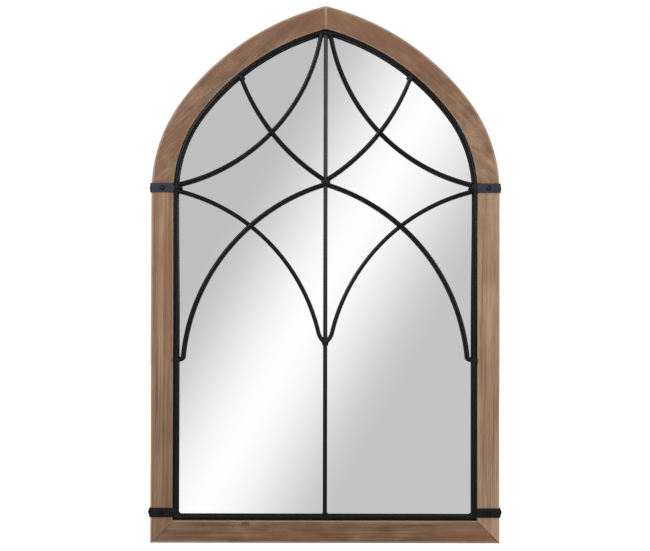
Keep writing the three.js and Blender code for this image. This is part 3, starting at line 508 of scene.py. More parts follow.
def stained_wood(name, lean, shift, look, knot=None):
    """Stained softwood whose grain leans from upright towards +X by an angle.

    Long streaks are noise stretched along the grain at three widths. Warm and grey patches are
    broad noise, and the tone drifts from the foot upwards. The arrises and joints that the mesh
    carries are rubbed pale in uneven lengths; on the arrises the paleness is partly a painted
    highlight. A knot is a dark oval with rings about it."""
    wood = settings().wood
    material, shader = new_material(name)
    turn = (0.0, -lean, 0.0)

    def streaks(scale, along, nudge=0.0, detail=2.0, distortion=0.0):
        place = shader.place(turn, (1.0, 1.0, along), tuple(part + nudge for part in shift))
        return shader.noise(place, scale, detail, 0.6, distortion)

    short = look["short"]
    broad = streaks(75.0, 0.035 * short, distortion=0.5)
    middle = streaks(300.0, 0.014 * short, 0.37, detail=3.0, distortion=0.2)
    fine = streaks(680.0, 0.010 * short, 0.71)
    patches = streaks(14.0, 0.45, 0.13)
    washes = streaks(22.0, 0.3, 0.53)
    pores = streaks(900.0, 0.045, 0.91, detail=1.0).between(0.60, 0.72)
    over_foot = shader.part(shader.place(), "Z") - FOOT_Z

    tone = (broad - 0.5) * 0.34 + (middle - 0.5) * 0.48 + (fine - 0.5) * 0.44
    mottle = shader.noise(shader.place(turn, (1.0, 1.0, 0.5), shift), 46.0, 3.0)
    tone = tone * look["contrast"] + (mottle - 0.5) * look["mottle"]
    tone = tone + (over_foot - DRIFT_MIDDLE) * look["drift"] + (0.5 - look["shade"])
    if knot is not None:
        spread = shader.distance(knot, upright=1.9) + (middle - 0.5) * 0.003
        rings = (spread * 1400.0).math("SINE") * (1.0 - spread.between(*KNOT_RINGS))
        tone = tone + rings * 0.08
    stops = [(0.36, tuple(wood.dark)), (0.50, tuple(wood.brown)), (0.64, tuple(wood.pale))]
    grain = shader.add("ShaderNodeValToRGB", {"stops": stops}, {"Fac": tone}).out("Color")
    warm = patches.between(0.44 - look["warmth"], 0.68 - look["warmth"]) * 0.5
    if look["blush"]:
        high = over_foot.between(*BLUSH_RISE)
        warm = warm.math("MAXIMUM", high * look["blush"] * washes.between(0.3, 0.55))
    grain = shader.mix(warm, grain, tuple(wood.red))
    grain = shader.mix(washes.between(0.5, 0.74) * 0.25, grain, tuple(wood.grey))
    grain = shader.mix(pores * 0.3, grain, tuple(wood.dark))
    if look["edge"]:
        from_middle = abs(shader.part(shader.place(), "X")) - (HALF - wood.face_width / 2)
        beside = (abs(from_middle) + (broad - 0.5) * 0.012).between(*BESIDE)
        grain = shader.mix(beside * look["edge"], grain, tuple(wood.red))
        grain = shader.mix((1.0 - beside) * look["edge"] * 0.3, grain, tuple(wood.pale))
    if knot is not None:
        core = 1.0 - spread.between(*KNOT_CORE)
        grain = shader.mix(core * 0.7, grain, linear(84, 52, 36))
    # The arrises are paler: partly rubbed wear, partly a painted highlight where the rounding
    # catches the light.
    rubbed = shader.noise(shader.place(turn, (1.0, 1.0, 0.2), shift), 160.0, 3.0)
    arris = (shader.attribute("arris") * (rubbed * 1.5 + 0.3)).between(0.18, 0.7)
    grain = shader.mix(arris * 0.7, grain, tuple(wood.wear_and_sheen))
    ends = shader.attribute("joint").between(0.1, 0.9)
    dark_end = tuple(part * 0.7 for part in wood.dark)
    grain = shader.mix(ends * 0.75, grain, tuple(wood.pale) if look["pale_joint"] else dark_end)

    height = fine * 0.5 + middle * 0.4 - pores * 0.6
    roughness = 0.62 + (middle - 0.5) * 0.25 + arris * 0.1
    shader.finish(grain, roughness, height, 0.25 * MM, gloss=0.3)
    return material


def satin_black(name, coat, roughness=0.3, rub=0.06, ring=None, painted_sheen=0.0, bend_shade=0.0):
    """Powder coat: a fine orange peel, faint cloudiness and a few rubbed specks, rougher low down
    and darker there as painted shade.

    About a screw's middle `ring` it is darker from a radius outwards, a painted shadow round the
    edge of its head. `painted_sheen` greys it lighter higher up as a painted highlight, and
    `bend_shade` darkens it where a strap turns round the frame's edge, as painted shade."""
    material, shader = new_material(name)
    place = shader.place()
    peel = shader.noise(place, 700.0, 1.0, 0.5)
    clouds = shader.noise(place, 38.0, 3.0, 0.6)
    specks = shader.noise(place, 620.0, 3.0, 0.7).between(0.66, 0.76)
    pale = tuple(part * 1.9 + 0.004 for part in coat)
    dark = tuple(part * 0.72 for part in coat)
    base = shader.mix(clouds.between(0.3, 0.7), dark, tuple(coat))
    base = shader.mix(specks * rub, base, pale)
    if ring is not None:
        # painted shadow: darker round the edge of the screw head, where its shadow and the gap
        # under it fall
        head_shade = shader.distance(ring).between(*HEAD_SHADE_RING)
        base = shader.mix(head_shade, base, tuple(part * 0.1 for part in coat))
    over_foot = shader.part(place, "Z") - FOOT_Z
    # painted shade: the coat darker towards the foot, where less light falls; it is also rougher
    # there
    dulled_and_shaded = 1.0 - over_foot.between(0.0, SHADED_DULL_BELOW)
    base = shader.mix(dulled_and_shaded * 0.4, base, (0.0, 0.0, 0.0))
    if painted_sheen:
        # painted highlight: the coat greyer and lighter higher up, where the mullion catches the
        # light
        base = shader.mix(over_foot.between(*SHEEN_RISE) * painted_sheen, base, linear(62, 64, 72))
    if bend_shade:
        # painted shade: near black where the strap turns round the frame's edge
        bend = abs(shader.part(place, "X")).between(*STRAP_BEND_SHADE)
        base = shader.mix(bend * bend_shade, base, (0.0015, 0.0015, 0.0017))
    shine = roughness + (clouds - 0.5) * 0.12 + (peel - 0.5) * 0.05 + dulled_and_shaded * 0.25
    shader.finish(base, shine, peel, 0.01 * MM, gloss=0.24)
    return material


def zinc_plate(name):
    """Bright zinc: grey with faint bluish and yellowish bloom and fine draw marks."""
    material, shader = new_material(name)
    bloom = shader.noise(shader.place(), 260.0, 3.0, 0.6)
    marks = shader.noise(shader.place((0.0, 0.0, 0.0), (1.0, 1.0, 0.06)), 2600.0, 2.0)
    base = shader.mix(bloom.between(0.35, 0.68), linear(176, 180, 186), linear(190, 184, 168))
    base = shader.mix(marks.between(0.55, 0.75) * 0.3, base, linear(128, 130, 132))
    roughness = 0.32 + (bloom - 0.5) * 0.2 + (marks - 0.5) * 0.15
    shader.finish(base, roughness, marks, 0.03 * MM, metal=0.9)
    return material


def grey_rubber(name):
    """Matt moulded rubber with dust in its fine texture."""
    material, shader = new_material(name)
    grit = shader.noise(shader.place(), 1900.0, 3.0, 0.6)
    dust = shader.noise(shader.place(), 240.0, 3.0, 0.6)
    base = shader.mix(dust.between(0.45, 0.75), linear(54, 54, 56), linear(86, 84, 80))
    shader.finish(base, 0.8 + (grit - 0.5) * 0.2, grit, 0.08 * MM, gloss=0.3)
    return material


def hardboard(name):
    """Pressed board: brown with pressed fibres, darker flecks and a soft sheen."""
    material, shader = new_material(name)
    fibres = shader.noise(shader.place((0.0, 0.7, 0.0), (1.0, 1.0, 0.25)), 700.0, 4.0, 0.65, 0.8)
    crossed = shader.noise(shader.place((0.0, -0.6, 0.0), (0.3, 1.0, 1.0)), 600.0, 4.0, 0.65, 0.8)
    clouds = shader.noise(shader.place(), 9.0, 4.0, 0.6)
    flecks = shader.noise(shader.place(), 420.0, 3.0, 0.7).between(0.62, 0.7)
    base = shader.mix(clouds.between(0.2, 0.8), linear(138, 108, 80), linear(150, 119, 89))
    base = shader.mix(fibres.between(0.42, 0.66) * 0.5, base, linear(172, 142, 108))
    base = shader.mix(flecks * 0.6, base, linear(88, 64, 44))
    height = fibres * 0.5 + crossed * 0.5
    shader.finish(base, 0.66 + (fibres - 0.5) * 0.3, height, 0.06 * MM, gloss=0.35)
    return material


def raw_beech(name):
    """Bare beech of the dowels: pink-tan with short dark flecks."""
    material, shader = new_material(name)
    grain = shader.noise(shader.place((0.0, 0.0, 0.0), (1.0, 1.0, 0.2)), 900.0, 3.0)
    flecks = shader.noise(shader.place((0.0, 0.0, 0.0), (1.0, 1.0, 0.35)), 1600.0, 2.0)
    base = shader.mix(grain.between(0.35, 0.65), linear(190, 158, 122), linear(212, 184, 148))
    base = shader.mix(flecks.between(0.6, 0.7) * 0.5, base, linear(150, 112, 80))
    shader.finish(base, 0.7 + (grain - 0.5) * 0.2, grain, 0.1 * MM, gloss=0.3)
    return material


def silvered_glass(name):
    """Mirror: nearly all light comes back, with the faintest cast and haze.

    Along the sides and the foot its edge is painted shade: near black, seen in the gap between the
    wood and the rod."""
    material, shader = new_material(name)
    cast = shader.noise(shader.place(), 3.0, 2.0)
    haze = shader.noise(shader.place(), 60.0, 3.0)
    base = shader.mix(cast.between(0.3, 0.7), (0.982, 0.985, 0.984), (0.988, 0.988, 0.988))
    place = shader.place()
    # painted shade: the glass near black in the shaded gap between the wood and the rod
    beside = abs(shader.part(place, "X")) - (HALF - EDGE_SHADE)
    below = (FOOT_Z + EDGE_SHADE) - shader.part(place, "Z")
    painted = beside.math("MAXIMUM", below).between(-0.4 * MM, 0.4 * MM)
    base = shader.mix(painted, base, (0.012, 0.012, 0.013))
    shader.finish(base, 0.012 + haze.between(0.4, 0.8) * 0.006 + painted * 0.4, metal=1.0)
    return material


# ---- surfaces ----------------------------------------------------------------------------------


def wrap_quads(rows, columns):
    """Corner numbers of the quads of a grid that closes on itself from column to column."""
    row, column = np.meshgrid(np.arange(rows - 1), np.arange(columns), indexing="ij")
    ahead = (column + 1) % columns
    corners = (
        row * columns + column,
        row * columns + ahead,
        (row + 1) * columns + ahead,
        (row + 1) * columns + column,
    )
    return np.stack(corners, axis=-1).reshape(-1, 4)


def turned_out(points, blocks):
    """The blocks of faces, all reversed if the closed surface's signed volume is negative."""
    volume = 0.0
    for block in blocks:
        corners = points[block]
        volume += np.sum(corners[:, :1] * np.cross(corners[:, 1:-1], corners[:, 2:]))
    return blocks if volume > 0 else [block[:, ::-1] for block in blocks]


def make_piece(name, shells, material, body, nodes=(), crease=35.0, values=None):
    """One object from closed shells, dressed, carried and standing for nodes.

    A shell is its points and its faces, which come in blocks of as many corners each."""
    points = np.concatenate([shell[0] for shell in shells])
    faces = []
    start = 0
    for shell_points, blocks in shells:
        for block in turned_out(shell_points, blocks):
            faces.extend((block + start).tolist())
        start += len(shell_points)
    mesh = bpy.data.meshes.new(name)
    mesh.from_pydata(points.tolist(), [], faces)
    mesh.polygons.foreach_set("use_smooth", np.ones(len(mesh.polygons), dtype=bool))
    mesh.set_sharp_from_angle(angle=math.radians(crease))
    for label, numbers in (values or {}).items():
        mesh.attributes.new(label, "FLOAT", "POINT").data.foreach_set("value", numbers.ravel())
    mesh.update()
    if mesh.validate():
        raise RuntimeError(f"{name} has faulty faces")
    piece = bpy.data.objects.new(name, mesh)
    bpy.context.scene.collection.objects.link(piece)
    mesh.materials.append(material)
    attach(piece, body)
    if nodes:
        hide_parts(*nodes)
    return piece


def swept(grid):
    """A section carried along stations, closed by one flat face at each end."""
    rows, columns = grid.shape[:2]
    ends = np.stack((np.arange(columns), (rows - 1) * columns + np.arange(columns)))
    return grid.reshape(-1, 3), [wrap_quads(rows, columns), ends]


def domed(grid, first, last):
    """Rings closed by a fan of triangles to a point at each end."""
    rows, columns = grid.shape[:2]
    points = np.concatenate((grid.reshape(-1, 3), [first], [last]))
    around = np.arange(columns)
    ahead = (around + 1) % columns
    top = (rows - 1) * columns
    start = np.stack((ahead, around, np.full(columns, rows * columns)), axis=-1)
    stop = np.stack((top + around, top + ahead, np.full(columns, rows * columns + 1)), axis=-1)
    return points, [wrap_quads(rows, columns), start, stop]


def waviness(along, seed):
    """A smooth uneven line between -1 and 1: three sines of unlike lengths."""
    return sum(share * np.sin(along / size + phase * seed) for size, phase, share in WAVES)


def unit(vectors):
    """Vectors of length one."""
    return vectors / np.linalg.norm(vectors, axis=-1, keepdims=True)


def arc(centre, radius, start, stop, spacing):
    """Points of a circle: its centre plus the radius times cosine and sine of an even angle."""
    count = max(3, math.ceil(abs(stop - start) * radius / spacing) + 1)
    turn = np.linspace(start, stop, count)
    return np.column_stack((centre[0] + radius * np.cos(turn), centre[1] + radius * np.sin(turn)))


def arc_between(first, last, radius, spacing):
    """Points of the arc from one point to another, with its centre on the left.

    The centre is off the chord's middle by the root of the radius squared less half the chord
    squared."""
    first, last = np.array(first), np.array(last)
    chord = last - first
    reach = np.linalg.norm(chord)
    left = np.array([-chord[1], chord[0]]) / reach
    centre = (first + last) / 2 + left * math.sqrt(radius**2 - reach**2 / 4)
    start = math.atan2(*(first - centre)[::-1])
    sweep = (math.atan2(*(last - centre)[::-1]) - start) % math.tau
    return arc(centre, radius, start, start + sweep, spacing)


def joined(*stretches):
    """Stretches end to end, without repeated points."""
    path = np.concatenate(stretches)
    keep = np.r_[True, np.linalg.norm(np.diff(path, axis=0), axis=1) > 0.001 * MM]
    return path[keep]


def travelled(path):
    """How far each station lies along its path: the sum of the steps up to it."""
    return np.r_[0.0, np.cumsum(np.linalg.norm(np.diff(path, axis=0), axis=1))]


def mirrored(path, side):
    """The path on the right, or its mirror image on the left."""
    return path * np.array([side, 1.0, 1.0])


def tube(path, radius, sides, ends=0.0):
    """A round rod: at each station a circle square to the path, drawn in at rounded ends.

    The path is an array of x, y, z. The circle's axes are the path's normal in the face's plane
    and the direction square to both. The ends close in a quarter circle of the given radius."""
    tangent = unit(np.gradient(path, axis=0))
    side = unit(np.cross(tangent, [0.0, 1.0, 0.0]))
    rise = np.cross(side, tangent)
    turn = np.linspace(0.0, math.tau, sides, endpoint=False)[None, :, None]
    ring = np.cos(turn) * side[:, None] + np.sin(turn) * rise[:, None]
    radius = np.broadcast_to(radius, len(path))[:, None, None]
    grid = path[:, None] + radius * ring
    first, last = path[0], path[-1]
    if ends:
        quarter = np.linspace(0.0, math.pi / 2, 5)[1:-1]
        reach = (ends * np.sin(quarter))[:, None, None]
        drawn = (radius[0, 0, 0] - ends * (1 - np.cos(quarter)))[:, None, None]
        tail = first - tangent[0] * reach + drawn * ring[:1]
        head = last + tangent[-1] * reach + drawn * ring[-1:]
        grid = np.concatenate((tail[::-1], grid, head))
        first, last = first - tangent[0] * ends, last + tangent[-1] * ends
    return domed(grid, first, last)


def flat_bar(path, width, thickness, edge, across):
    """A flat strip: a rounded rectangle carried along a path that lies in one plane.

    The width runs along the direction `across`, which is square to the plane, and may change
    from station to station. The section's corners are quarter circles of the edge radius."""
    tangent = unit(np.gradient(path, axis=0))
    across = np.array(across, dtype=float)
    out = unit(np.cross(across, tangent))
    turn = np.linspace(0.0, math.pi / 2, 4)
    corner_u, corner_v = edge * (np.cos(turn) - 1), edge * (np.sin(turn) - 1)
    half_width = np.broadcast_to(width, len(path))[:, None] / 2
    half_depth = thickness / 2
    signs = ((1, 1, False), (-1, 1, True), (-1, -1, False), (1, -1, True))
    columns_u, columns_v = [], []
    for sign_u, sign_v, backwards in signs:
        step = slice(None, None, -1) if backwards else slice(None)
        columns_u.append(sign_u * (half_width + corner_u[step]))
        columns_v.append(np.broadcast_to(sign_v * (half_depth + corner_v[step]), (len(path), 4)))
    u = np.concatenate(columns_u, axis=1)[..., None]
    v = np.concatenate(columns_v, axis=1)[..., None]
    return swept(path[:, None] + u * across + v * out[:, None])


def basis(outward):
    """Three axes, as rows, whose last one looks outward."""
    outward = unit(np.array(outward, dtype=float))
    helper = np.array([0.0, 0.0, 1.0]) if abs(outward[2]) < 0.9 else np.array([1.0, 0.0, 0.0])
    first = unit(np.cross(helper, outward))
    return np.stack((first, np.cross(outward, first), outward))


def angles_of(axes):
    """The turn that three axes, given as rows, stand for."""
    return Matrix(axes.T.tolist()).to_euler()


def revolved(profile, seat, outward, sides):
    """A profile of radius and height turned about an axis through the seat."""
    axes = basis(outward)
    turn = np.linspace(0.0, math.tau, sides, endpoint=False)
    radius, height = profile[1:-1, 0, None], profile[1:-1, 1, None]
    local = np.stack((radius * np.cos(turn), radius * np.sin(turn), height + 0 * turn), axis=-1)
    ends = np.array([[0.0, 0.0, profile[0, 1]], [0.0, 0.0, profile[-1, 1]]])
    return domed(seat + local @ axes, *(seat + ends @ axes))


def cross_head(seat, outward, head, crown, turn):
    """A domed screw head with a cross recess.

    The height over a radius is a flattened dome, and near the middle the recess takes away a
    depth that falls off smoothly from the nearer of two crossed lines."""
    axes = basis(outward)
    reach = head / 2
    around = np.linspace(0.0, math.tau, 64, endpoint=False)
    share = np.r_[np.linspace(0.04, 0.62, 20), np.linspace(0.66, 1.0, 9)][::-1, None]
    radius = reach * share
    dome = crown * (HEAD_RIM + (1 - HEAD_RIM) * np.sqrt(np.clip(1 - share**2, 0, 1)) ** 0.9)
    x, y = radius * np.cos(around), radius * np.sin(around)
    near = np.minimum(np.abs(x), np.abs(y)) / reach
    far = np.maximum(np.abs(x), np.abs(y)) / reach
    slot = 1 / (1 + np.exp((near - RECESS_WIDTH) * 70)) / (1 + np.exp((far - RECESS_REACH) * 45))
    height = dome - crown * RECESS_DEPTH * slot
    twist = np.array([[math.cos(turn), math.sin(turn)], [-math.sin(turn), math.cos(turn)]])
    flat = np.stack((x, y), axis=-1) @ twist
    top = np.concatenate((flat, height[..., None]), axis=-1)
    foot = top[:1].copy()
    foot[..., 2] = 0.0
    local = np.concatenate((foot, top))
    middle = crown * 0.45
    ends = np.array([[0.0, 0.0, 0.0], [0.0, 0.0, middle]])
    return domed(seat + local @ axes, *(seat + ends @ axes))


def shank(seat, outward, diameter, reach):
    """A screw's shank with a rolled thread: the radius rises and falls along the axis."""
    axes = basis(outward)
    turn = np.linspace(0.0, math.tau, 16, endpoint=False)
    depth = np.linspace(0.0, reach * 0.86, 60)[:, None]
    thread = 0.5 + 0.5 * np.cos(depth / THREAD_PITCH * math.tau - turn)
    radius = diameter / 2 * (0.8 + 0.2 * thread) + 0 * turn
    local = np.stack((radius * np.cos(turn), radius * np.sin(turn), -depth + 0 * turn), axis=-1)
    ends = np.array([[0.0, 0.0, 0.0], [0.0, 0.0, -reach]])
    return domed(seat + local @ axes, *(seat + ends @ axes))


def screw(node, outward, head, crown, core, turn, material, slot, flat=1.0):
    """A domed screw in its node's place, with a cross recess and a threaded shank.

    Its seat lies one crown under the outer face of the node's box. `flat` lowers the head."""
    low, high = corners_of(node)
    axis = int(np.argmax(np.abs(outward)))
    seat = (low + high) / 2
    seat[axis] = (high if outward[axis] > 0 else low)[axis] - outward[axis] * crown
    reach = (high - low)[axis] - crown
    top = cross_head(seat, outward, head, crown * flat, turn)
    stem = shank(seat, outward, core, reach)
    make_piece(f"{node}_domed", [top, stem], material, "frame", [node])


def lump(joint, offset, radii, lean, seed, unevenness=0.12, side=1):
    """A weld nugget: an egg whose radius swells and sinks by crossed sines.

    Its middle lies off the joint. Offset and radii are in millimetres. It leans in the face's
    plane by an angle from upright towards +X, and on the left, side -1, all of it is mirrored."""
    lean = side * lean
    centre = mirrored(joint + np.array(offset) * MM, side)
    radii = np.array(radii) * MM
    polar = np.linspace(0.0, math.pi, 17)[1:-1, None]
    turn = np.linspace(0.0, math.tau, 28, endpoint=False)
    ripple = np.sin(3 * turn + seed * 2.1 + 2 * polar) * np.sin(4 * polar + seed)
    swell = 1 + unevenness * (0.6 * ripple + 0.4 * np.sin(5 * polar + turn * 2 + seed * 3.7))
    x = radii[0] * np.sin(polar) * np.cos(turn) * swell
    y = radii[1] * np.sin(polar) * np.sin(turn) * swell
    z = radii[2] * np.cos(polar) * swell
    leant_x = x * math.cos(lean) + z * math.sin(lean)
    leant_z = z * math.cos(lean) - x * math.sin(lean)
    grid = np.stack((leant_x, y, leant_z), axis=-1)
    pole = np.array([radii[2] * math.sin(lean), 0.0, radii[2] * math.cos(lean)])
    return domed(centre + grid, centre + pole, centre - pole)


# ---- the wooden frame --------------------------------------------------------------------------


def haunch_of(wood):
    """Centre of the arch's lower arc, level with the spring joint."""
    return np.array([HALF - wood.haunch_radius, SPRING_Z])


def crown_of(wood):
    """Centre and radius of the arch's upper arc, which leaves the haunch smoothly for the tip.

    With d from the haunch's end to the tip and h the way outwards there, the radius is d squared
    over twice d against h."""
    heading = np.array([math.cos(wood.haunch_angle), math.sin(wood.haunch_angle)])
    bend = haunch_of(wood) + heading * wood.haunch_radius
    to_tip = np.array([0.0, ARCH_TIP]) - bend
    radius = -(to_tip @ to_tip) / (2 * to_tip @ heading)
    return bend - heading * radius, radius


def crown_height(wood, x, inset):
    """Height of the arch's upper arc over x, at some distance inside the outer edge."""
    centre, radius = crown_of(wood)
    return centre[1] + math.sqrt((radius - inset) ** 2 - (x - centre[0]) ** 2)


def moulding_section(wood):
    """Section points: distance in from the outer edge, depth from the front, arris weight."""
    quarter = np.linspace(0.0, math.pi / 2, 6)
    flat = np.linspace(0.0, 1.0, 9)[1:-1]
    fade = np.array([0.8, 1.7]) * MM
    depth = BACK_Y - FRONT_Y
    back = wood.back_round
    width = wood.face_width
    outer = np.column_stack((
        wood.outer_round * (1 - np.cos(quarter)),
        wood.round_depth * (1 - np.sin(quarter)),
        0.35 + 0.65 * np.sin(2 * quarter),
    ))
    left, right = wood.outer_round, width - wood.inner_round
    face = np.column_stack((
        np.r_[left + fade, left + (right - left) * flat, right - fade[:1]],
        np.zeros(len(flat) + 3),
        np.r_[0.45, 0.15, 0 * flat, 0.2],
    ))
    inner = np.column_stack((
        right + wood.inner_round * np.sin(quarter),
        wood.round_depth * (1 - np.cos(quarter)),
        0.35 + 0.65 * np.sin(2 * quarter),
    ))
    board = width - wood.board_ledge
    inside = np.array([
        [width, wood.lip, 0.2],
        [width - wood.glass_ledge, wood.lip, 0.0],
        [width - wood.glass_ledge, wood.ledge, 0.0],
        [board, wood.ledge, 0.0],
    ])
    small = np.linspace(0.0, math.pi / 2, 4)
    back_inner = np.column_stack((
        board - back * (1 - np.cos(small)), depth - back * (1 - np.sin(small)), 0.5 + 0 * small
    ))
    back_outer = np.column_stack((
        back * (1 - np.sin(small)), depth - back * (1 - np.cos(small)), 0.5 + 0 * small
    ))
    return np.concatenate((outer, face, inner, inside, back_inner, back_outer))


def wooden_member(name, place, run, material, node, seed):
    """One moulding: each line of its section follows its own course from joint to joint.

    `place` gives x and z for distances in from the outer edge and shares of the way. The arrises
    waver by a smooth uneven line, and the front falls away slightly at both joints."""
    wood = settings().wood
    section = moulding_section(wood)
    inset, depth, arris = section.T
    ends, margin = JOINT_STATIONS / run, MEMBER_MARGIN / run
    middle = np.linspace(margin, 1 - margin, int(run / MEMBER_SPACING))
    share = np.r_[ends, middle, 1 - ends[::-1]]
    travel = share * run
    from_joint = np.minimum(travel, run - travel)
    waver = waviness(travel, seed)[:, None] * arris * wood.wobble
    dip = wood.joint_ease * np.clip(1 - from_joint / JOINT_FALL, 0, 1)[:, None] ** 2
    outward = np.where(inset < wood.face_width / 2, 1.0, -1.0)
    x, z = place(inset + np.abs(waver) * outward, share[:, None])
    face = (depth < wood.lip / 2).astype(float)
    gentle = waviness(travel * 0.4 + 3 * seed, seed + 1)[:, None] * FACE_SWELL
    y = FRONT_Y + depth + (dip + np.abs(gentle + waver * 0.5)) * face
    grid = np.stack((x, np.broadcast_to(y, x.shape), z), axis=-1)
    joint = np.clip(1 - from_joint / JOINT_STAIN, 0, 1)[:, None] * np.ones_like(inset)
    carried = {"arris": np.broadcast_to(arris, x.shape), "joint": joint}
    return make_piece(
        name, [swept(grid)], material, "frame", [node], crease=40.0, values=carried
    )


def arch_place(side):
    """Course of the arch's lines: two arcs, the upper one up to the mitre at the tip."""
    wood = settings().wood
    crown, crown_radius = crown_of(wood)
    haunch = haunch_of(wood)
    low = JOINT_GAP / 2 / wood.haunch_radius
    crown_tip = math.acos(-crown[0] / crown_radius)
    haunch_run = wood.haunch_radius * wood.haunch_angle
    crown_run = crown_radius * (crown_tip - wood.haunch_angle)
    split = haunch_run / (haunch_run + crown_run)

    def place(inset, share):
        tip = np.arccos((JOINT_GAP / 2 - crown[0]) / (crown_radius - inset))
        lower = low + (wood.haunch_angle - low) * share / split
        upper = wood.haunch_angle + (tip - wood.haunch_angle) * (share - split) / (1 - split)
        below = share < split
        turn = np.where(below, lower, upper)
        radius = np.where(below, wood.haunch_radius - inset, crown_radius - inset)
        x = np.where(below, haunch[0], crown[0]) + radius * np.cos(turn)
        z = np.where(below, haunch[1], crown[1]) + radius * np.sin(turn)
        return side * x, z

    return place, haunch_run + crown_run


def stile_place(side):
    """Course of a stile's lines: upright, from the mitre to the spring joint."""
    mitre = JOINT_GAP / math.sqrt(2)

    def place(inset, share):
        foot = FOOT_Z + inset + mitre
        return side * (HALF - inset) + 0 * share, foot + (STILE_HIGH[2] - foot) * share

    return place, STILE_HIGH[2] - FOOT_Z


def rail_place():
    """Course of the bottom rail's lines: level, from mitre to mitre."""
    mitre = JOINT_GAP / math.sqrt(2)

    def place(inset, share):
        reach = HALF - inset - mitre
        return reach * (2 * share - 1), FOOT_Z + inset + 0 * share

    return place, 2 * HALF


# ---- routes of the grille ----------------------------------------------------------------------


def rod_y(grille):
    """Depth of the grille's plane."""
    return FRONT_Y + grille.setback


def in_plane(path, grille):
    """A path of x and z laid in the grille's plane."""
    return np.column_stack((path[:, 0], np.full(len(path), rod_y(grille)), path[:, 1]))


def bowed(path, peak, height):
    """The path lifted out of its plane: nothing at both ends and the full height at the peak."""
    travel = travelled(path)
    top = travel[np.argmin(np.hypot(path[:, 0] - peak[0], path[:, 2] - peak[1]))]
    share = np.where(travel < top, travel / top, (travel[-1] - travel) / (travel[-1] - top))
    lifted = path.copy()
    lifted[:, 1] += height * (1 - np.cos(math.pi * share)) / 2
    return lifted


def meeting(first, second):
    """Where two paths come nearest to each other."""
    gaps = np.linalg.norm(first[:, None] - second[None], axis=-1)
    row, column = np.unravel_index(np.argmin(gaps), gaps.shape)
    return (first[row] + second[column]) / 2


def above_foot(*heights):
    """Heights over the foot as heights in the frame's own axes."""
    return [FOOT_Z + height for height in heights]


def routes():
    """Centrelines of the rods of the right half, as arrays of x, y and z."""
    grille, wood = settings().grille, settings().wood
    side_x = HALF - grille.arch_inset
    foot_x = HALF - grille.foot_inset
    bottom, draw_in, hub, strap = above_foot(
        grille.foot_inset, grille.draw_in, grille.hub, grille.strap_height
    )
    crown, crown_radius = crown_of(wood)
    inner_haunch = wood.haunch_radius - grille.arch_inset
    inner_crown = crown_radius - grille.arch_inset
    tip = math.acos(-crown[0] / inner_crown)

    rise = np.linspace(0.0, 1.0, 50)
    drawn = np.column_stack((
        foot_x + (side_x - foot_x) * (1 - np.cos(math.pi * rise)) / 2,
        draw_in + (SPRING_Z - draw_in) * rise,
    ))
    upright = np.linspace((foot_x, bottom), (foot_x, draw_in), 70)
    perimeter = joined(
        upright,
        drawn,
        arc(haunch_of(wood), inner_haunch, 0, wood.haunch_angle, ROD_SPACING),
        arc(crown, inner_crown, wood.haunch_angle, tip, ROD_SPACING),
    )
    across = np.linspace((-foot_x, bottom), (foot_x, bottom), 110)
    top = crown_height(wood, 0.0, grille.arch_inset)
    mullion = np.linspace((0.0, bottom), (0.0, top), 170)

    apex_head = (grille.apex_spread, crown_height(wood, grille.apex_spread, grille.arch_inset))
    apex_foot = (side_x, strap + grille.strap_spread)
    apex = arc_between(apex_head, apex_foot, grille.apex_radius, ROD_SPACING)

    reach = grille.shoulder_reach
    shoulder_head = (reach, crown_height(wood, reach, grille.arch_inset))
    shoulder_foot = (0.0, hub + grille.hub_spread)
    shoulder = arc_between(shoulder_foot, shoulder_head, grille.shoulder_radius, ROD_SPACING)

    hook_z, hook_top = above_foot(grille.hook_height, grille.hook_height + grille.hook_rise)
    spring_head = (side_x, strap - grille.strap_spread)
    hook_start = np.array([grille.hook_offset, hook_top])
    spring = arc_between(spring_head, hook_start, grille.spring_radius, ROD_SPACING)
    heading = unit(spring[-1] - spring[-2])
    chord = np.array([0.0, hook_z]) - hook_start
    turn = math.acos(np.clip(heading @ unit(chord), -1, 1))
    hook_radius = np.linalg.norm(chord) / (2 * math.sin(turn))
    hook_centre = hook_start + np.array([heading[1], -heading[0]]) * hook_radius
    start = math.atan2(*(hook_start - hook_centre)[::-1])
    hook = arc(hook_centre, hook_radius, start, start - 2 * turn, BEND_SPACING)

    bend = grille.tail_bend
    tail_z = FOOT_Z + grille.tail_height
    tail_x = foot_x - grille.tail_standoff
    stub = np.linspace((foot_x, tail_z), (tail_x + bend, tail_z), 8)
    curl = arc((tail_x + bend, tail_z + bend), bend, math.pi * 1.5, math.pi, BEND_SPACING)
    flank_foot, flank_head = (tail_x, tail_z + bend), (0.0, hub - grille.hub_spread)
    flank = arc_between(flank_foot, flank_head, grille.flank_radius, ROD_SPACING)

    paths = {
        "perimeter_rod": perimeter,
        "bottom_rod": across,
        "mullion_rod": mullion,
        "apex_rod": apex,
        "shoulder_rod": shoulder,
        "spring_rod": joined(spring, hook),
        "flank_rod": joined(stub, curl, flank),
    }
    paths = {name: in_plane(path, grille) for name, path in paths.items()}
    for back, front in (("apex_rod", "shoulder_rod"), ("spring_rod", "flank_rod")):
        peak = meeting(paths[back], paths[front])[[0, 2]]
        paths[back] = bowed(paths[back], peak, grille.bow)
        paths[front] = bowed(paths[front], peak, -grille.bow)
    return paths


def rod_thickness(path, seed):
    """Radius of a rod along its way, a hair uneven from bending and coating."""
    thinner = ROD_UNEVEN * (0.5 + 0.5 * waviness(travelled(path), seed))
    return settings().grille.diameter / 2 - thinner


# ---- operators ---------------------------------------------------------------------------------


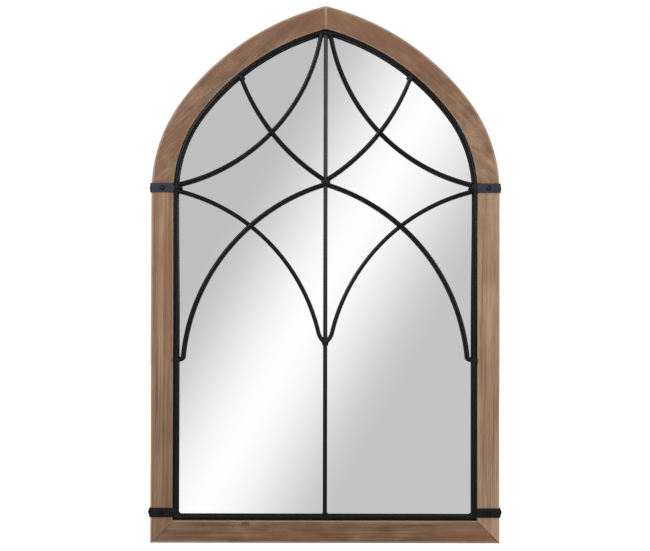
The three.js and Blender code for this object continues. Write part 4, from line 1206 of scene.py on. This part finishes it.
class WINDOW_MIRROR_OT_wood(bpy.types.Operator):
    """Make the five wooden members of the frame"""

    bl_idname = "window_mirror.wood"
    bl_label = "Wooden frame"

    def execute(self, context):
        for index, (node, (lean, shift, look)) in enumerate(UPRIGHT_MEMBERS.items()):
            side = 1 if node.endswith("right") else -1
            place, run = arch_place(side) if node.startswith("arch") else stile_place(side)
            material = stained_wood(f"stained wood {node}", lean, shift, look)
            wooden_member(f"{node}_moulding", place, run, material, node, 1.0 + index)
        place, run = rail_place()
        name = "stained wood bottom rail"
        material = stained_wood(name, math.pi / 2, RAIL_SHIFT, RAIL_LOOK, KNOT)
        wooden_member("bottom_rail_moulding", place, run, material, "bottom_rail", 6.0)
        return {"FINISHED"}


class WINDOW_MIRROR_OT_rods(bpy.types.Operator):
    """Make the grille's perimeter, bottom and mullion rods and its bent tracery rods"""

    bl_idname = "window_mirror.rods"
    bl_label = "Grille rods"

    def execute(self, context):
        coat = tuple(settings().grille.coat)
        bent = satin_black("satin black bent rods", coat)
        # the mullion's coat carries a painted highlight higher up
        upright = satin_black("satin black mullion", coat, roughness=0.26, painted_sheen=0.8)
        for seed, (name, path) in enumerate(routes().items()):
            single = name in ("bottom_rod", "mullion_rod")
            material = upright if name == "mullion_rod" else bent
            for word, side in SIDES[:1] if single else SIDES:
                node = name if single else f"{name}_{word}"
                way = mirrored(path, side)
                shell = tube(way, rod_thickness(way, seed + side * 0.3), 24, ROD_END)
                make_piece(f"{node}_round", [shell], material, "frame", [node])
        return {"FINISHED"}


class WINDOW_MIRROR_OT_welds(bpy.types.Operator):
    """Make the weld nuggets over the apex and the hub and the beads at the other joints"""

    bl_idname = "window_mirror.welds"
    bl_label = "Welds"

    def execute(self, context):
        grille = settings().grille
        radius = grille.diameter / 2
        y = rod_y(grille)
        material = satin_black("satin black welds", tuple(grille.coat), roughness=0.36)
        for place, eggs in NUGGETS.items():
            node = f"{place}_weld"
            joint = (0.0, y - radius, centre_of(node)[2])
            shells = [lump(joint, *egg) for egg in eggs]
            make_piece(f"{place}_nugget", shells, material, "frame", [node])

        paths = routes()
        strap_z, tail_z, foot_z = above_foot(
            grille.strap_height, grille.tail_height, grille.foot_inset
        )
        foot_x = HALF - grille.foot_inset
        joints = {
            "shoulder": paths["shoulder_rod"][-1] * (1, 0, 1) + (0, y, 0),
            "strap": (HALF - grille.arch_inset, y, strap_z),
            "hook": paths["spring_rod"][-1] * (1, 0, 1) + (0, y, 0),
            "tail": (foot_x, y, tail_z),
            "corner": (foot_x, y, foot_z),
        }
        for place, joint in joints.items():
            for word, side in SIDES:
                shells = [
                    lump(joint, *egg, 1.9 * index + side, side=side)
                    for index, egg in enumerate(BEADS[place], 1)
                ]
                make_piece(f"{place}_bead_{word}", shells, material, "frame")
        foot = lump((0.0, y, foot_z + radius), *MULLION_BEAD)
        make_piece("mullion_foot_bead", [foot], material, "frame")
        return {"FINISHED"}


class WINDOW_MIRROR_OT_straps(bpy.types.Operator):
    """Make the four straps and their domed screws"""

    bl_idname = "window_mirror.straps"
    bl_label = "Straps"

    def execute(self, context):
        grille, fittings = settings().grille, settings().fittings
        thickness = fittings.strap_thickness
        face_y = FRONT_Y - fittings.seat - thickness / 2
        side_x = HALF + fittings.seat + thickness / 2
        radius = fittings.strap_bend + thickness / 2
        inner_x = HALF - grille.arch_inset
        face = np.linspace((inner_x, face_y), (side_x - radius, face_y), 24)
        corner = arc((side_x - radius, face_y + radius), radius, -math.pi / 2, 0.0, 0.25 * MM)
        leg_end = FRONT_Y + fittings.strap_leg
        leg = np.linspace((side_x, face_y + radius), (side_x, leg_end), 12)
        outline = joined(face, corner, leg)
        side_screws = satin_black("strap screw black", tuple(grille.coat), 0.38, 0.2)
        # painted light: the upper straps and their front screws get a lit copy of the coat, the
        # lower ones a shaded copy
        coats = {"upper": tuple(grille.upper_strap_lit_coat), "lower": tuple(grille.lower_strap_shaded_coat)}
        for height, coat in coats.items():
            material = satin_black(f"{height} strap black", coat, 0.46, 0.25, bend_shade=0.9)
            for word, side in SIDES:
                node = f"{height}_strap_{word}"
                level = np.full(len(outline), centre_of(node)[2])
                path = mirrored(np.column_stack((outline, level)), side)
                bar = flat_bar(path, fittings.strap_width, thickness, STRAP_EDGE, (0, 0, 1))
                make_piece(f"{node}_bar", [bar], material, "frame", [node])
                front = f"{height}_strap_front_screw_{word}"
                middle = tuple(centre_of(front))
                ringed = satin_black(f"{node} screw black", coat, 0.4, 0.2, ring=middle)
                twist = 0.35 + 0.8 * side + (0.5 if height == "upper" else 0.0)
                sizes = (fittings.strap_head, fittings.strap_crown, STRAP_SHANK, twist)
                screw(front, (0, -1, 0), *sizes, ringed, "black_paint")
                flat = FLAT_HEAD if height == "upper" else 1.0
                beside = f"{height}_strap_side_screw_{word}"
                screw(beside, (side, 0, 0), *sizes, side_screws, "black_paint", flat)
        return {"FINISHED"}


class WINDOW_MIRROR_OT_board(bpy.types.Operator):
    """Dress the glass, its board and the dowels, and make the ten board screws"""

    bl_idname = "window_mirror.board"
    bl_label = "Glass and board"

    def execute(self, context):
        fittings = settings().fittings
        beech = raw_beech("raw beech")
        dressed = {name: beech for name in frame["nodes"] if "dowel" in name}
        dressed["mirror_glass"] = silvered_glass("silvered glass")
        dressed["back_board"] = hardboard("hardboard")
        for name, material in dressed.items():
            materials = frame["nodes"][name].data.materials
            materials.clear()
            materials.append(material)
        zinc = zinc_plate("zinc plate board screws")
        names = [name for name in frame["nodes"] if name.startswith("board_screw")]
        sizes = (fittings.board_head, fittings.board_crown, BOARD_SHANK)
        for index, node in enumerate(sorted(names)):
            screw(node, (0, 1, 0), *sizes, index * 0.7, zinc, "zinc_steel")
        return {"FINISHED"}


class WINDOW_MIRROR_OT_hangers(bpy.types.Operator):
    """Make the hanger plates, their screws and the two swinging rings"""

    bl_idname = "window_mirror.hangers"
    bl_label = "Hangers"

    def execute(self, context):
        fittings = settings().fittings
        zinc = zinc_plate("zinc plate hangers")
        for word, side in SIDES:
            eye = HANGER_EYES[f"hanger_ring_{word}"]
            self.plate(word, eye, zinc, fittings)
            self.ring(word, eye, zinc, fittings)
            for index, place in enumerate(("upper", "lower")):
                turn = 0.4 + index + side * 0.5
                sizes = (fittings.board_head, fittings.hanger_crown, HANGER_SHANK, turn)
                screw(f"hanger_{place}_screw_{word}", (0, 1, 0), *sizes, zinc, "zinc_steel")
        return {"FINISHED"}

    def plate(self, word, eye, material, fittings):
        """A strip that runs up the wood and is rolled round the ring, its foot cut round."""
        node = f"hanger_plate_{word}"
        foot = corners_of(node)[0][2]
        strip_y = BACK_Y + fittings.seat + fittings.plate_thickness / 2
        roll = eye[1] - strip_y
        up = np.r_[foot + PLATE_STATIONS, np.linspace(foot + PLATE_STRAIGHT, eye[2], 30)]
        rise = np.column_stack((np.full(len(up), strip_y), up))
        curl = arc((eye[1], eye[2]), roll, math.pi, -0.82 * math.pi, 0.35 * MM)
        outline = joined(rise, curl)
        path = np.column_stack((np.full(len(outline), eye[0]), outline))
        from_foot = np.clip((outline[:, 1] - foot) / (fittings.plate_width / 2), 0.0, 1.0)
        from_foot[len(up):] = 1.0
        width = fittings.plate_width * np.sqrt(np.clip(1 - (1 - from_foot) ** 2, 0.02, 1))
        bar = flat_bar(path, width, fittings.plate_thickness, PLATE_EDGE, (1, 0, 0))
        make_piece(f"{node}_rolled", [bar], material, "frame", [node])

    def ring(self, word, eye, material, fittings):
        """A D of round wire: straight bar in the eye, two corners, two sides and a half circle."""
        half = (fittings.ring_width + fittings.ring_wire) / 2
        corner = fittings.ring_corner
        low = -corner - fittings.ring_side
        right = np.linspace((RING_SPLIT, 0.0), (half - corner, 0.0), 14)
        bend = arc((half - corner, -corner), corner, math.pi / 2, 0.0, RING_SPACING)
        bow = arc((0.0, low), half, 0.0, -math.pi, RING_SPACING)
        back = arc((corner - half, -corner), corner, math.pi, math.pi / 2, RING_SPACING)
        left = np.linspace((corner - half, 0.0), (-RING_SPLIT, 0.0), 14)
        route = joined(right, bend, bow, back, left)
        path = eye + np.column_stack((route[:, 0], np.zeros(len(route)), route[:, 1]))
        wire = tube(path, fittings.ring_wire / 2 - RING_SLACK, 20)
        node = f"hanger_ring_{word}"
        make_piece(f"{node}_wire", [wire], material, node, [node])


class WINDOW_MIRROR_OT_bumpers(bpy.types.Operator):
    """Make the two rubber bumpers"""

    bl_idname = "window_mirror.bumpers"
    bl_label = "Bumpers"

    def execute(self, context):
        rubber = grey_rubber("grey rubber")
        rounding = settings().fittings.bumper_round
        for word, _ in SIDES:
            node = f"bumper_{word}"
            low, high = corners_of(node)
            seat = (low + high) / 2
            seat[1] = low[1]
            reach, height = (high[0] - low[0]) / 2, high[1] - low[1]
            middle = (reach - rounding, height - rounding)
            edge = arc(middle, rounding, 0.0, math.pi / 2, BUMPER_SPACING)
            foot = [[0.0, 0.0], [reach - 0.2 * MM, 0.0], [reach, 0.3 * MM]]
            dish = [[reach * 0.4, height - 0.25 * MM], [0.0, height - 0.3 * MM]]
            profile = np.concatenate((foot, edge, [[reach * 0.45, height]], dish))
            shell = revolved(profile, seat, (0, 1, 0), 48)
            make_piece(f"{node}_button", [shell], rubber, "frame", [node])
        return {"FINISHED"}


class WINDOW_MIRROR_OT_stage(bpy.types.Operator):
    """Make the floor, the lamps, the surroundings and the camera"""

    bl_idname = "window_mirror.stage"
    bl_label = "Stage"

    def execute(self, context):
        scene = context.scene
        stage = settings().stage
        self.floor(scene, stage)
        self.world(scene, stage)
        for name, (place, width) in LAMPS.items():
            self.lamp(scene, f"{name} lamp", np.array(place), width, getattr(stage, name))
        self.camera(scene, stage)
        scene.view_settings.view_transform = "Standard"
        return {"FINISHED"}

    def floor(self, scene, stage):
        """A pale floor that keeps the shadow, and that the mirror doesn't show."""
        material, shader = new_material("pale floor")
        path = shader.add("ShaderNodeLightPath")
        grain = shader.noise(shader.place(), 40.0, 3.0)
        shade = shader.mix(grain, (0.84, 0.84, 0.84), (0.86, 0.86, 0.86))
        matt = shader.add("ShaderNodeBsdfDiffuse", {}, {"Color": shade}).out()
        glow = shader.mix(path.out("Is Camera Ray"), (0.0, 0.0, 0.0), (stage.floor_glow,) * 3)
        light = shader.add("ShaderNodeEmission", {}, {"Color": glow, "Strength": 1.0}).out()
        lit = shader.add("ShaderNodeAddShader", {}, {0: matt, 1: light}).out()
        clear = shader.add("ShaderNodeBsdfTransparent").out()
        sockets = {0: path.out("Is Glossy Ray"), 1: lit, 2: clear}
        mixed = shader.add("ShaderNodeMixShader", {}, sockets).out()
        shader.add("ShaderNodeOutputMaterial", {}, {"Surface": mixed})
        corners = np.array([[-1, -1], [1, -1], [1, 1], [-1, 1]]) * FLOOR_REACH
        points = np.column_stack((corners, np.full(4, FOOT_Z - FLOOR_DROP)))
        mesh = bpy.data.meshes.new("floor")
        mesh.from_pydata(points.tolist(), [], [[0, 1, 2, 3]])
        mesh.materials.append(material)
        plane = bpy.data.objects.new("floor", mesh)
        scene.collection.objects.link(plane)

    def world(self, scene, stage):
        """White for the camera, even light for the object, a slanting gleam in the mirror."""
        world = bpy.data.worlds.new("studio")
        world.use_nodes = True
        scene.world = world
        shader = Shader(world.node_tree)
        path = shader.add("ShaderNodeLightPath")
        way = shader.add("ShaderNodeTexCoord").out("Generated")
        axes = shader.add("ShaderNodeSeparateXYZ", {}, {0: way})
        slant = axes.out("X") * GLEAM_LEAN - axes.out("Z") + GLEAM_SHIFT
        rise = GLEAM_BEFORE + slant.between(*GLEAM_RISE) * (1 - GLEAM_BEFORE)
        fall = 1 - slant.between(*GLEAM_FALL) * (1 - GLEAM_AFTER)
        ahead = (axes.out("Y") * -1.0).between(*AHEAD)
        grey = shader.mix(ahead, (ASIDE,) * 3, rise * fall)
        seen = path.out("Is Camera Ray") + path.out("Is Transmission Ray")
        shown = shader.mix(path.out("Is Glossy Ray"), (stage.ambient,) * 3, grey)
        shown = shader.mix(seen.math("MINIMUM", 1.0), shown, (1.0, 1.0, 1.0))
        back = shader.add("ShaderNodeBackground", {}, {"Color": shown, "Strength": 1.0}).out()
        shader.add("ShaderNodeOutputWorld", {}, {"Surface": back})

    def lamp(self, scene, name, place, width, watts):
        """A square soft lamp that looks at a point just below the mirror's middle."""
        light = bpy.data.lights.new(name, "AREA")
        light.size = width
        light.energy = watts
        lamp = bpy.data.objects.new(name, light)
        scene.collection.objects.link(lamp)
        lamp.location = place
        lamp.rotation_euler = angles_of(basis(place - BELOW_MIDDLE))

    def camera(self, scene, stage):
        """The camera in front of the mirror, a little below its middle, looking slightly up."""
        data = bpy.data.cameras.new("camera")
        data.sensor_fit = "HORIZONTAL"
        data.sensor_width = 36.0
        data.lens = stage.lens
        camera = bpy.data.objects.new("camera", data)
        scene.collection.objects.link(camera)
        height = FOOT_Z + stage.camera_height
        camera.location = (stage.camera_side, FRONT_Y - stage.distance, height)
        look = np.array([0.0, math.cos(stage.pitch), math.sin(stage.pitch)])
        right = np.array([1.0, 0.0, 0.0])
        up = np.cross(right, look)
        turned_right = math.cos(stage.roll) * right + math.sin(stage.roll) * up
        turned_up = math.cos(stage.roll) * up - math.sin(stage.roll) * right
        camera.rotation_euler = angles_of(np.stack((turned_right, turned_up, -look)))
        scene.camera = camera


class WINDOW_MIRROR_PT_panel(bpy.types.Panel):
    """Buttons for the mirror's pieces and its settings"""

    bl_idname = "WINDOW_MIRROR_PT_panel"
    bl_label = "Arched window mirror"
    bl_space_type = "VIEW_3D"
    bl_region_type = "UI"
    bl_category = "Mirror"

    def draw(self, context):
        layout = self.layout
        for operator in OPERATORS:
            layout.operator(operator.bl_idname)
        for group in ("wood", "grille", "fittings", "stage"):
            box = layout.box()
            values = getattr(context.scene.window_mirror, group)
            box.label(text=group.title())
            for name in values.bl_rna.properties.keys():
                if name not in ("rna_type", "name"):
                    box.prop(values, name)


OPERATORS = (
    WINDOW_MIRROR_OT_wood,
    WINDOW_MIRROR_OT_rods,
    WINDOW_MIRROR_OT_welds,
    WINDOW_MIRROR_OT_straps,
    WINDOW_MIRROR_OT_board,
    WINDOW_MIRROR_OT_hangers,
    WINDOW_MIRROR_OT_bumpers,
    WINDOW_MIRROR_OT_stage,
)
GROUPS = (WoodSettings, GrilleSettings, FittingSettings, StageSettings, MirrorSettings)
CLASSES = (*GROUPS, *OPERATORS, WINDOW_MIRROR_PT_panel)


def register():
    """Adds the classes and the scene's settings."""
    for kind in CLASSES:
        bpy.utils.register_class(kind)
    bpy.types.Scene.window_mirror = bpy.props.PointerProperty(type=MirrorSettings)


def unregister():
    """Removes the settings and the classes."""
    del bpy.types.Scene.window_mirror
    for kind in reversed(CLASSES):
        bpy.utils.unregister_class(kind)


def main():
    """Makes every piece and the stage."""
    register()
    for operator in OPERATORS:
        group, name = operator.bl_idname.split(".")
        getattr(getattr(bpy.ops, group), name)()


if __name__ == "__main__":
    main()
